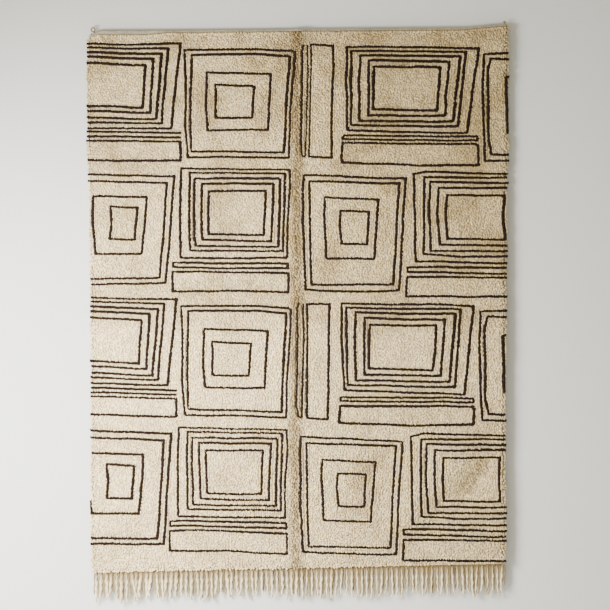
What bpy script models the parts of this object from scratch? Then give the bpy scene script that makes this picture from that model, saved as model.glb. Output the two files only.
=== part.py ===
"""Hand-knotted wool rug, hanging from its top edge.

The rug hangs in the XZ plane with its pile towards -Y and its back at about Y = 0.
The origin is the middle of the top edge, on the back of the cloth. Metres, +Z up.
"""

import math
import random
from bisect import bisect_right

import bmesh
import bpy

# ---- driving dimensions (metres) ------------------------------------------------------

# Outline of the knotted cloth: x of both side edges at depths below the top edge.
# The sides draw in a little towards the bottom, as hand-woven ones do.
SIDE_EDGES = (
    # depth, left,   right
    (0.000, -0.769, 0.769),
    (0.420, -0.769, 0.769),
    (0.560, -0.763, 0.766),
    (0.900, -0.758, 0.762),
    (1.430, -0.755, 0.757),
    (1.750, -0.757, 0.759),
    (1.990, -0.752, 0.757),
)
# The top edge climbs a little to the right and is pulled up at its right corner.
TOP_EDGE = (
    # x,      z
    (-0.769, -0.026),
    (-0.752, -0.012),
    (-0.728, -0.006),
    (-0.350, -0.004),
    (0.000, 0.000),
    (0.600, 0.005),
    (0.700, 0.015),
    (0.769, 0.020),
)
BOTTOM_LEFT_Z = -1.986      # end of the pile's woven ground at the left side
BOTTOM_RIGHT_Z = -1.958     # and at the right side

GROUND = 0.0070             # thickness of the woven ground at the bottom edge
HEADING = 0.0050            # thickness of the flat-woven heading along the top
HEADING_HEIGHT = 0.015      # how far the heading reaches down
HEADING_ROLL = 0.0005       # how far its rounded edge stands above its corners
PILE_REACH = 0.0180         # back of the cloth to the tips of the pile
PILE_RISE = 0.0040          # height over which the pile rises under the heading
LUMP = 0.0016               # unevenness of the pile's face
LOCK = 0.0045               # how far the largest locks stand out at the rim
SIDE_INSET = 0.0040         # how far the woven back ends inside the pile's sides
SIDE_REACH = 0.80           # the pile's reach at its sides, as a share of its full reach
PILE_OVERHANG = 0.0050      # how far the pile hangs down over the bottom edge
OVERHANG_REACH = 0.0125     # back of the cloth to the tips of that overhang
OVERHANG_GAP = 0.0010       # how far the overhang starts in front of the woven ground
RIM_ROUND = 0.0110          # height over which the pile rounds off at the bottom
FIRST_PILE_ROW = 0.030      # heading to the grid's first full row of pile

# Soft forms of the hanging cloth, each a ridge or trough along a straight line.
# rise is towards the viewer (-Y).
FOLDS = (
    # name,              x0,    z0,     x1,     z1,    half-width, rise
    ("old centre fold", 0.004, 0.10, -0.004, -2.10, 0.024, 0.0090),
    ("corner trough", 0.705, -1.560, 0.470, -1.820, 0.045, -0.0100),
    ("corner ridge", 0.640, -1.480, 0.420, -1.740, 0.050, 0.0070),
    ("small trough", 0.390, -1.520, 0.240, -1.680, 0.035, -0.0050),
    ("top right sag", 0.300, -0.230, 0.680, -0.260, 0.090, -0.0040),
)
SWAY = 0.0050               # broad wave of the whole sheet, forwards and back
SWAY_LENGTH_X = 1.10
SWAY_LENGTH_Z = 1.70
CORNER_STAND = 0.0100       # how far the free bottom right corner stands forward
CORNER_STAND_X = (0.25, 0.75)        # from none to all of it across the width
CORNER_STAND_DEPTH = (1.20, 2.00)    # and down the length

# Grid of the cloth's solid.
ROW_PITCH = 0.045
COLUMN_PITCH = 0.046
FOLD_COLUMNS = (-0.046, -0.023, 0.0, 0.023, 0.046)  # finer columns over the centre fold
LEFT_RIM_COLUMNS = (0.0, 0.011, 0.017, 0.041)       # and where the corners round off,
RIGHT_RIM_COLUMNS = (0.035, 0.011, 0.0)             # as distances from each side

# Fringe.
STRAND_COUNT = 82
STRAND_WIDTH = 0.0075
STRAND_DEPTH = 0.0050
STRAND_STEPS = 4
FRINGE_LEFT = -0.742
FRINGE_RIGHT = 0.752
FRINGE_DROP_LEFT = 0.104    # strip's top to the strands' tips
FRINGE_DROP_RIGHT = 0.118
STRIP_HEIGHT = 0.007
STRIP_DEPTH = 0.0055
STRIP_BACK = 0.0010         # how far the strip's back lies in front of the cloth's back
TIP_WIDTH = 0.6             # a strand's tip, as a share of its width
STRAND_DRIFT = 0.0045       # how far a strand's tip strays to one side
STRAND_BOW = 0.0018         # how far its middle bows out
STRAND_SWING = 0.0050       # how far its tip swings forwards or back
STRAND_UNEVEN = 0.0120      # how much longer or shorter than its neighbours it may be

# Corner loop and corner knot, both of twisted yarn.
LOOP_X = -0.7515
LOOP_RADIUS = 0.0072
LOOP_YARN = 0.0026          # radius of the yarn
LOOP_STEPS = 20
YARN_SIDES = 8
KNOT_X = 0.7570
KNOT_RADIUS = 0.0065
KNOT_BUMP = 0.07            # depth of the dents in it, as a share of its radius
KNOT_FLAT = 0.75            # its depth as a share of its width

GAP = 0.0003                # clearance between pieces that touch
CONTACT_STEPS = 20          # places tried on each side to find where a piece rests
SEED = 11

WOOL = (0.80, 0.70, 0.55, 1.0)
WARP_COTTON = (0.84, 0.77, 0.63, 1.0)
HEADING_YARN = (0.62, 0.54, 0.42, 1.0)


# ---- helpers ---------------------------------------------------------------------------

def table_value(table, position, column):
    """Read a table by straight lines between its rows, and hold it level past its ends."""
    keys = [row[0] for row in table]
    if position <= keys[0]:
        return table[0][column]
    if position >= keys[-1]:
        return table[-1][column]
    after = bisect_right(keys, position)
    low, high = table[after - 1], table[after]
    share = (position - low[0]) / (high[0] - low[0])
    return low[column] + share * (high[column] - low[column])


def smooth_step(value, start, end):
    """Ease from 0 at start to 1 at end without a corner."""
    share = min(max((value - start) / (end - start), 0.0), 1.0)
    return share * share * (3.0 - 2.0 * share)


def either_way(draw):
    """A seeded draw between -1 and 1."""
    return 2.0 * draw.random() - 1.0


def top_z(x):
    """Height of the top edge."""
    return table_value(TOP_EDGE, x, 1)


def bottom_z(x):
    """Height of the bottom edge of the woven ground, a straight line."""
    share = (x - FRINGE_LEFT) / (FRINGE_RIGHT - FRINGE_LEFT)
    return BOTTOM_LEFT_Z + share * (BOTTOM_RIGHT_Z - BOTTOM_LEFT_Z)


def fold_rise(x, z):
    """Sum of the soft ridges and troughs at one place on the cloth."""
    rise = 0.0
    for _name, x0, z0, x1, z1, half_width, height in FOLDS:
        length = math.hypot(x1 - x0, z1 - z0)
        along = ((x - x0) * (x1 - x0) + (z - z0) * (z1 - z0)) / length
        across = ((x - x0) * (z1 - z0) - (z - z0) * (x1 - x0)) / length
        past_end = max(-along, along - length, 0.0)
        rise += height * math.exp(-(across / half_width) ** 2 - (past_end / half_width) ** 2)
    return rise


def hang(x, z):
    """Y of the cloth's back: soft folds, a broad sway and the free corner's stand."""
    sway = SWAY * math.sin(math.tau * x / SWAY_LENGTH_X) * math.sin(math.tau * z / SWAY_LENGTH_Z)
    stand = CORNER_STAND * smooth_step(x, *CORNER_STAND_X) * smooth_step(-z, *CORNER_STAND_DEPTH)
    return sway - fold_rise(x, z) - stand


def yarn_material(name, colour, roughness):
    """Plain Principled material for one kind of yarn."""
    material = bpy.data.materials.new(name)
    material.use_nodes = True
    shader = material.node_tree.nodes["Principled BSDF"]
    shader.inputs["Base Color"].default_value = colour
    shader.inputs["Roughness"].default_value = roughness
    shader.inputs["Metallic"].default_value = 0.0
    return material


def add_object(name, work, material):
    """Turn a closed bmesh into a named object with its faces pointing out."""
    bmesh.ops.recalc_face_normals(work, faces=work.faces)
    bmesh.ops.triangulate(work, faces=work.faces)
    mesh = bpy.data.meshes.new(name)
    work.to_mesh(mesh)
    work.free()
    mesh.shade_smooth()
    mesh.set_sharp_from_angle(angle=math.radians(50.0))
    mesh.materials.append(material)
    thing = bpy.data.objects.new(name, mesh)
    bpy.context.scene.collection.objects.link(thing)
    return thing


def spaced(start, end, pitch):
    """Even places from start up to, but without, end."""
    count = max(1, round((end - start) / pitch))
    return [start + (end - start) * i / count for i in range(count)]


# ---- rug cloth -------------------------------------------------------------------------

def column_shares():
    """Places across the width from 0 to 1: even, finer over the centre fold."""
    left, right = SIDE_EDGES[0][1], SIDE_EDGES[0][2]
    left_rim = [left + offset for offset in LEFT_RIM_COLUMNS]
    right_rim = [right - offset for offset in RIGHT_RIM_COLUMNS]
    places = left_rim[:-1]
    places += spaced(left_rim[-1], FOLD_COLUMNS[0], COLUMN_PITCH)
    places += list(FOLD_COLUMNS[:-1])
    places += spaced(FOLD_COLUMNS[-1], right_rim[0], COLUMN_PITCH)
    places += right_rim
    return [(place - left) / (right - left) for place in places]


def row_shares():
    """Places down the length from 0 to 1: the heading first, then the pile's rows."""
    length = -0.5 * (BOTTOM_LEFT_Z + BOTTOM_RIGHT_Z)
    places = [0.0, HEADING_HEIGHT, HEADING_HEIGHT + PILE_RISE]
    places += spaced(HEADING_HEIGHT + FIRST_PILE_ROW, length - RIM_ROUND, ROW_PITCH)
    places += [length - RIM_ROUND, length]
    return [place / length for place in places]


def cloth_point(across, down, inset=0.0):
    """X and Z of a place on the cloth, its sides drawn in by inset."""
    guess_z = down * bottom_z(0.0)
    left = table_value(SIDE_EDGES, -guess_z, 1) + inset
    right = table_value(SIDE_EDGES, -guess_z, 2) - inset
    x = left + across * (right - left)
    z = top_z(x) + down * (bottom_z(x) - top_z(x))
    return x, z


def make_rug_cloth(wool):
    """One closed sheet: flat-woven heading, lumpy pile face, locks at its rim, woven back."""
    draw = random.Random(SEED)
    columns, rows = column_shares(), row_shares()
    last_column, last_row = len(columns) - 1, len(rows) - 1
    work = bmesh.new()

    back, front, middle = {}, {}, {}
    for r, down in enumerate(rows):
        for c, across in enumerate(columns):
            on_side = c in (0, last_column)
            x, z = cloth_point(across, down, inset=SIDE_INSET if on_side else 0.0)
            depth = hang(x, z)
            back[r, c] = work.verts.new((x, depth, z))

            outward = -1.0 if c == 0 else 1.0
            lock = LOCK * draw.random()
            lump = LUMP * either_way(draw)
            in_heading = r <= 1
            if in_heading:
                reach, side_lock, side_stand = HEADING, 0.0, 0.5 * SIDE_INSET
            else:
                reach, side_lock, side_stand = PILE_REACH + lump, 0.5 * lock, SIDE_INSET + lock
            if r == last_row:
                reach = OVERHANG_REACH
            elif on_side and not in_heading:
                reach = SIDE_REACH * PILE_REACH
            face_x = x + outward * side_lock if on_side else x
            face_z = z - PILE_OVERHANG - 0.5 * lock if r == last_row else z
            front[r, c] = work.verts.new((face_x, depth - reach, face_z))

            if r == 0:
                middle[r, c] = work.verts.new((x, depth - 0.5 * HEADING, z + HEADING_ROLL))
            elif r == last_row:
                middle[r, c] = work.verts.new((x, depth - GROUND - OVERHANG_GAP, z))
            elif on_side:
                middle[r, c] = work.verts.new((x + outward * side_stand, depth - 0.5 * reach, z))

    for r in range(last_row):
        for c in range(last_column):
            a, b, d, e = (r, c), (r, c + 1), (r + 1, c + 1), (r + 1, c)
            work.faces.new((front[a], front[b], front[d], front[e]))
            work.faces.new((back[a], back[e], back[d], back[b]))

    rim = [(0, c) for c in range(last_column)]
    rim += [(r, last_column) for r in range(last_row)]
    rim += [(last_row, c) for c in range(last_column, 0, -1)]
    rim += [(r, 0) for r in range(last_row, 0, -1)]
    for here, after in zip(rim, rim[1:] + rim[:1]):
        work.faces.new((back[here], back[after], middle[after], middle[here]))
        work.faces.new((middle[here], middle[after], front[after], front[here]))
    return add_object("rug_cloth", work, wool)


# ---- fringe ----------------------------------------------------------------------------

def strand_sections(draw, centre_x, root_z, tip_z, way):
    """Rings of four corners down one strand, below its root on the strip."""
    drift = STRAND_DRIFT * either_way(draw)
    bow = STRAND_BOW * either_way(draw)
    swing = STRAND_SWING * 0.5 * (1.0 + draw.random()) * way
    tip = tip_z + STRAND_UNEVEN * either_way(draw)
    root_y = hang(centre_x, root_z) - STRIP_BACK - 0.5 * STRIP_DEPTH
    sections = []
    for step in range(1, STRAND_STEPS + 1):
        share = step / STRAND_STEPS
        x = centre_x + drift * share * share + bow * math.sin(math.pi * share)
        y = root_y + swing * smooth_step(share, 0.0, 1.0)
        z = root_z + (tip - root_z) * share
        scale = 1.0 - (1.0 - TIP_WIDTH) * share ** 4
        half_w, half_d = 0.5 * STRAND_WIDTH * scale, 0.5 * STRAND_DEPTH * scale
        sections.append([
            (x - half_w, y - half_d, z),
            (x + half_w, y - half_d, z),
            (x + half_w, y + half_d, z),
            (x - half_w, y + half_d, z),
        ])
    return sections


def make_bottom_fringe(cotton):
    """The twined strip along the bottom edge with every strand grown out of its underside."""
    draw = random.Random(SEED + 1)
    work = bmesh.new()
    pitch = (FRINGE_RIGHT - FRINGE_LEFT - STRAND_WIDTH) / (STRAND_COUNT - 1)
    centres = [FRINGE_LEFT + 0.5 * STRAND_WIDTH + i * pitch for i in range(STRAND_COUNT)]
    edges = []
    for centre in centres:
        edges += [centre - 0.5 * STRAND_WIDTH, centre + 0.5 * STRAND_WIDTH]

    # Corners of the strip at one x: top front, top back, bottom back, bottom front.
    rings = []
    for x in edges:
        top = bottom_z(x) - GAP
        y = hang(x, top) - STRIP_BACK
        low = top - STRIP_HEIGHT
        corners = ((y - STRIP_DEPTH, top), (y, top), (y, low), (y - STRIP_DEPTH, low))
        rings.append([work.verts.new((x, cy, cz)) for cy, cz in corners])
    for i, (here, after) in enumerate(zip(rings, rings[1:])):
        for side in (0, 1, 3):
            work.faces.new((here[side], here[(side + 1) % 4], after[(side + 1) % 4], after[side]))
        is_gap = i % 2 == 1
        if is_gap:
            work.faces.new((here[2], here[3], after[3], after[2]))
    work.faces.new(rings[0])
    work.faces.new(list(reversed(rings[-1])))

    for i, centre in enumerate(centres):
        share = i / (STRAND_COUNT - 1)
        left, right = rings[2 * i], rings[2 * i + 1]
        loop = [left[3], right[3], right[2], left[2]]
        root_z = bottom_z(centre) - GAP - STRIP_HEIGHT
        drop = FRINGE_DROP_LEFT + share * (FRINGE_DROP_RIGHT - FRINGE_DROP_LEFT)
        tip_z = bottom_z(centre) - drop
        way = -1.0 if i % 2 else 1.0
        for section in strand_sections(draw, centre, root_z, tip_z, way):
            ring = [work.verts.new(point) for point in section]
            for side in range(4):
                nxt = (side + 1) % 4
                work.faces.new((loop[side], loop[nxt], ring[nxt], ring[side]))
            loop = ring
        work.faces.new(loop)
    return add_object("bottom_fringe", work, cotton)


# ---- corner pieces ---------------------------------------------------------------------

def resting_height(centre_x, radius):
    """Height of the middle of a disc that rests on the top edge, a gap above it."""
    reach = radius + GAP
    highest = -math.inf
    for step in range(-CONTACT_STEPS, CONTACT_STEPS + 1):
        offset = reach * step / CONTACT_STEPS
        edge = top_z(centre_x + offset) + HEADING_ROLL
        highest = max(highest, edge + math.sqrt(reach ** 2 - offset ** 2))
    return highest


def make_corner_loop(cotton):
    """A small ring of yarn standing on the rounded top left corner."""
    centre_z = resting_height(LOOP_X, LOOP_RADIUS + LOOP_YARN)
    centre_y = hang(LOOP_X, top_z(LOOP_X)) - 0.5 * HEADING
    work = bmesh.new()
    rings = []
    for i in range(LOOP_STEPS):
        turn = math.tau * i / LOOP_STEPS
        ring = []
        for k in range(YARN_SIDES):
            roll = math.tau * k / YARN_SIDES
            radius = LOOP_RADIUS + LOOP_YARN * math.cos(roll)
            ring.append(work.verts.new((
                LOOP_X + radius * math.cos(turn),
                centre_y + LOOP_YARN * math.sin(roll),
                centre_z + radius * math.sin(turn),
            )))
        rings.append(ring)
    for here, after in zip(rings, rings[1:] + rings[:1]):
        for k in range(YARN_SIDES):
            nxt = (k + 1) % YARN_SIDES
            work.faces.new((here[k], here[nxt], after[nxt], after[k]))
    return add_object("corner_loop", work, cotton)


def make_corner_knot(cotton):
    """A small knot of warp ends on the pulled-up top right corner."""
    draw = random.Random(SEED + 2)
    work = bmesh.new()
    bmesh.ops.create_icosphere(work, subdivisions=2, radius=KNOT_RADIUS)
    for vert in work.verts:
        vert.co *= 1.0 - KNOT_BUMP * draw.random()
        vert.co.y *= KNOT_FLAT
    centre_y = hang(KNOT_X, top_z(KNOT_X)) - 0.5 * HEADING
    centre_z = resting_height(KNOT_X, KNOT_RADIUS)
    bmesh.ops.translate(work, verts=work.verts, vec=(KNOT_X, centre_y, centre_z))
    return add_object("corner_knot", work, cotton)


def main():
    for thing in list(bpy.data.objects):
        bpy.data.objects.remove(thing, do_unlink=True)
    wool = yarn_material("undyed wool pile", WOOL, 0.95)
    cotton = yarn_material("cotton warp ends", WARP_COTTON, 0.90)
    heading = yarn_material("twisted heading yarn", HEADING_YARN, 0.90)
    make_rug_cloth(wool)
    make_bottom_fringe(cotton)
    make_corner_loop(heading)
    make_corner_knot(heading)


main()
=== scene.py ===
"""Cream hand-knotted wool rug with dark nested squares and bars, hung from its top edge.

The rug hangs in the XZ plane: X to the right, Z up, the pile towards -Y and the woven back at
about Y = 0. The origin is the middle of the top edge. Lengths are in metres, and only the chart
of the dark lines is in millimetres.
"""

import math
import random
from bisect import bisect_right

import bmesh
import bpy
import numpy as np
from bpy.props import FloatProperty, FloatVectorProperty, IntProperty, PointerProperty
from bpy.types import Operator, Panel, PropertyGroup
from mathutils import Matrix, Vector, noise
from mathutils.kdtree import KDTree


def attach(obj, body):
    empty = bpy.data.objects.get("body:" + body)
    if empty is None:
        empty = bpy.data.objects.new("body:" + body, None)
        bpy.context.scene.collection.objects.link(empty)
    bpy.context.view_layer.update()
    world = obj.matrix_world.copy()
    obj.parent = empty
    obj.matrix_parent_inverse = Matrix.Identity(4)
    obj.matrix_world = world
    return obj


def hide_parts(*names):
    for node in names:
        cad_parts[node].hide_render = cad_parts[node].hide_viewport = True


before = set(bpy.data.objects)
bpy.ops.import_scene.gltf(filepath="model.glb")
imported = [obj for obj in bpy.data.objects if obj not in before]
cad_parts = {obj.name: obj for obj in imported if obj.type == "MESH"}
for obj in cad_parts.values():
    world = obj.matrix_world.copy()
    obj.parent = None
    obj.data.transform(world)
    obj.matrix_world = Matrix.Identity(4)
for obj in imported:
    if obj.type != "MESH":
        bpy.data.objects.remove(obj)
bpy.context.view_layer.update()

bl_info = {
    "name": "Hand-knotted wool rug",
    "version": (1, 0, 0),
    "blender": (4, 5, 0),
    "location": "3D View > Sidebar > Rug",
    "description": "Builds a cream wool pile rug with dark line work and a cotton fringe",
    "category": "Object",
}

BODY = "root"

# ---- the hanging cloth, as the solid has it (metres) -------------------------------------

SIDE_EDGES = (
    # depth, left,   right
    (0.000, -0.769, 0.769),
    (0.420, -0.769, 0.769),
    (0.560, -0.763, 0.766),
    (0.900, -0.758, 0.762),
    (1.430, -0.755, 0.757),
    (1.750, -0.757, 0.759),
    (1.990, -0.752, 0.757),
)
TOP_EDGE = (
    # x,      z
    (-0.769, -0.026),
    (-0.752, -0.012),
    (-0.728, -0.006),
    (-0.350, -0.004),
    (0.000, 0.000),
    (0.600, 0.005),
    (0.700, 0.015),
    (0.769, 0.020),
)
BOTTOM_LEFT_Z = -1.986      # bottom edge of the woven ground at its left end
BOTTOM_RIGHT_Z = -1.958
HEADING = 0.0050            # thickness of the woven ground and its heading
HEADING_HEIGHT = 0.015
HEADING_ROLL = 0.0005       # how far the top rim rounds up
FOLDS = (
    # x0,    z0,     x1,     z1,    half-width, rise towards -Y
    (0.004, 0.10, -0.004, -2.10, 0.024, 0.0090),
    (0.705, -1.560, 0.470, -1.820, 0.045, -0.0100),
    (0.640, -1.480, 0.420, -1.740, 0.050, 0.0070),
    (0.390, -1.520, 0.240, -1.680, 0.035, -0.0050),
    (0.300, -0.230, 0.680, -0.260, 0.090, -0.0040),
)
SWAY = 0.0050               # broad sway of the whole cloth
SWAY_LENGTH_X = 1.10
SWAY_LENGTH_Z = 1.70
CORNER_STAND = 0.0100       # how far the lower right corner stands off the wall
CORNER_STAND_X = (0.25, 0.75)
CORNER_STAND_DEPTH = (1.20, 2.00)

STRAND_COUNT = 82
FRINGE_LEFT = -0.742
FRINGE_RIGHT = 0.752
FRINGE_DROP_LEFT = 0.104    # length of the strands
FRINGE_DROP_RIGHT = 0.118
STRAND_BOX = 0.0075         # width of a strand of the solid
STRAND_PITCH = (FRINGE_RIGHT - FRINGE_LEFT - STRAND_BOX) / (STRAND_COUNT - 1)
STRIP_HEIGHT = 0.007
STRIP_DEPTH = 0.0055
STRIP_BACK = 0.0010         # the strip's back lies this far in front of the cloth's
STRAND_DRIFT = 0.0045       # how far a strand's tip lies aside, at most
STRAND_BOW = 0.0018         # how far its middle bows
STRAND_SWING = 0.0050       # how far its tip lies forward or back
STRAND_UNEVEN = 0.0120      # how much the lengths differ, each way
LOOP_X = -0.7515
LOOP_RADIUS = 0.0072
LOOP_YARN = 0.0026          # width of one ply, and of the circle on which both wind
KNOT_X = 0.7570
KNOT_RADIUS = 0.0065
GAP = 0.0003                # between one solid and the next
SEED = 11

# ---- the cloth's making (metres) ---------------------------------------------------------

FLAT_WIDTH = 1.540          # the knotted cloth as it left the loom
FLAT_LENGTH = 1.980
FOLD_WAVE = 0.021           # half-width over which the old fold ruffles the pile
SIDE_WAVE = 0.012           # and over which the side tufts lean outwards
EDGE_MARGIN = 0.0040        # from a side edge to the nearest roots
END_MARGIN = 0.0020         # and from the bottom edge
END_ROOM = 0.0040           # places are tried this far past it
PILE_START = 0.0060         # from the top edge to the first roots
BARE_BAND = 0.0125          # the same where the band is left bare, towards the left corner
BARE_BAND_X = (-0.56, -0.48)
PILE_END = -0.001           # lowest tufts above the bottom edge, at the left
PILE_END_RISE = 0.007       # and how much higher they are at the right
PILE_END_X = (-0.20, 0.70)
CREAM_TINT = 0.96
CREAM_SPREAD = 0.19         # how much each cream tuft's tint differs
CREAM_CLOUDS = 0.05         # and that of many together
LENGTH_CLOUDS = 0.10        # share by which many together are longer or shorter
LINE_SHARE = 0.0068         # width that a tuft beside a dark line leaves to the line
DARK_SPREAD = 0.22          # how much each dark tuft's tint differs
DARK_LENGTH = 0.98          # its length as a share of a cream tuft's
SUNK = 0.0008               # roots and bed start this far inside the ground's face
BELLY = 0.55                # share of its length at which a tuft is seen
BED_BELOW = 0.0015          # the bed starts this far below the first roots
BED_EDGE = 0.15             # share of the bed's thickness that is left at its edges
BED_UNEVEN = 0.0006
BED_LEAST = 0.0002
BED_TINT = 0.97
BED_AGE_AND_SHADE = 0.60              # how aged, and darkened by painted shade of the parted pile, the bed looks along the old fold
GROUND_UNEVEN = 0.0005
SELVEDGE_ROUND = 0.0012     # how far the ground's sides round out
END_ROUND = 0.0008          # and its bottom end
END_SHORT = 0.0010          # which stops this far above the bottom edge

# How far tufts lean from upright, where 1 is half a right angle.
LEAN_LEFT = 0.10            # the whole pile
LEAN_CLOUDS = 0.35          # either way, many tufts together
LEAN_EACH = 0.30            # either way, each tuft
DROOP_CLOUDS = 0.30         # share by which many tufts together droop more or less
DROOP_EACH = 0.12
PARTED_LEAN = 0.40          # away from the old fold
PARTED_CLOUDS = 0.55
PARTED_EACH = 0.45
PARTED_STEP = 0.012         # width over which that lean turns from one side to the other
LEFT_PUSH = 0.75            # outwards along the left side
RIGHT_PUSH = 1.00           # and along the right side

# ---- the yarns' making (metres) ----------------------------------------------------------

GATHERED = (-0.593, -0.549, -0.493)     # x where neighbouring strands lean together
GATHERED_REACH = 0.020      # how far off a strand is still drawn there
GATHERED_LEAN = 0.7         # and the share of the way that its tip goes
TUCKED = 0.004              # strands and threads start this far up inside the strip
TIP_RISE = 0.0085           # at the right the tips are this much higher than the solid's
TIP_HOOK = 0.007            # how far a tip hooks aside, at most
HOOK_FROM = 0.75            # from which share of the strand's length
ASTRAY = 0.0050             # how far a tip is off the solid's, with its neighbours and alone
ASTRAY_LESS = 0.0025        # and how much less alone at the right
STRAND_WAVE = 0.0009        # depth of the waves along a strand
STRAND_FAT = 0.14           # share by which its girth differs along it
STRAND_TAPER = 0.30         # and by which it is thinner at its tip
SLENDER_LEFT = 1.30         # girth of the strands at the left, as a share of their width
SLENDER_LESS = 0.56         # how much slimmer they are at the right
GIRTH_SPREAD = 0.22         # and each one, either way
TAN_LEFT = 0.50             # how tan the tannest strands are at the left
TAN_LESS = 0.34             # and how much less at the right
WISP_OUT = 0.0055           # how far a wisp's tip is off the strand's, each way
WISP_BELOW = (-0.004, 0.005)    # and below it
WISP_BEND = 0.002
WISP_GIRTH = 0.30           # share of the strand's girth
WISP_TAPER = 0.6            # share by which it is thinner at its tip
THREAD_GIRTH = 0.0023
THREAD_TAPER = 0.35
THREAD_STEPS = 7
THREAD_ASIDE = (0.5, 0.45)  # how far aside it starts and goes, each way, in strand pitches
THREAD_BEHIND = (0.0016, 0.0024)    # behind the strand's root, and further at its own tip
THREAD_BEND = 0.003
THREAD_LONG = (0.65, 1.04)  # shares of the strand's length
THREAD_PALE = 0.62          # how pale the palest threads are at the left
THREAD_PALE_LESS = 0.07     # and how much less at the right
STRIP_PITCH = 0.0062        # stitches of the twined strip
STRIP_STITCH = (0.0023, 0.0027, 0.0076)     # two half-widths and the length
STRIP_SLANT = 0.55
STRIP_ENDS = 0.003          # no stitch is nearer to the fringe's ends
STRIP_FIRST_ROW = 0.0019    # from the strip's top to its first row of stitches
STRIP_ROW_STEP = 0.0033
HEADING_PITCH = 0.0078      # stitches along the heading
HEADING_STITCH = 0.0084
HEADING_SLANT = 0.30
HEADING_ENDS = (-0.758, 0.762)
HEADING_ROWS = (
    # on the rim, how far forward, half-width, tint, how much the tint differs
    (True, 0.0025, 0.0021, 0.96, 0.08),
    # The second row's lower tint is painted shade at the joint with the pile.
    (False, 0.0058, 0.0016, 0.70, 0.22),
)
RIM_TWINE = 0.0015          # the row on the rim lies this far below the top edge
PILE_TWINE = 0.0005         # and the other one this far above the first roots
STITCH_RINGS = ((0.0, 0.35), (0.25, 0.9), (0.6, 1.0), (0.88, 0.6))     # height and girth
EVEN_STITCHES = {"Thinnest": 0.94, "Thickest": 1.06, "Shortest": 0.96, "Longest": 1.04}
LOOP_STEPS = 72
LOOP_WINDS = 9              # how often the two plies wind round each other
LOOP_STITCHES = 0.8         # the loop's two stitches, as a share of its radius aside
LOOP_STITCH = (
    # forward of the heading's face, above the top edge, half-width
    (-0.002, 0.0015, 0.0014),
    (0.001, -0.0005, 0.0016),
    (0.001, -0.0050, 0.0014),
)
KNOT_YARN = 0.0017          # half-width
KNOT_STEPS = 48
KNOT_SPAN = 4.9             # the knot's radius over the unit of its trefoil curve
KNOT_END = 0.0045           # length of its loose ends
KNOT_BACK = (0.0036, 0.0036, 0.0021)    # a dark knot seen on the back: half-widths and height
KNOT_BACK_SUNK = 0.0006
KNOT_BACK_END = 0.004       # none is nearer to the bottom edge

# ---- the chart of the dark lines (millimetres) -------------------------------------------

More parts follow.
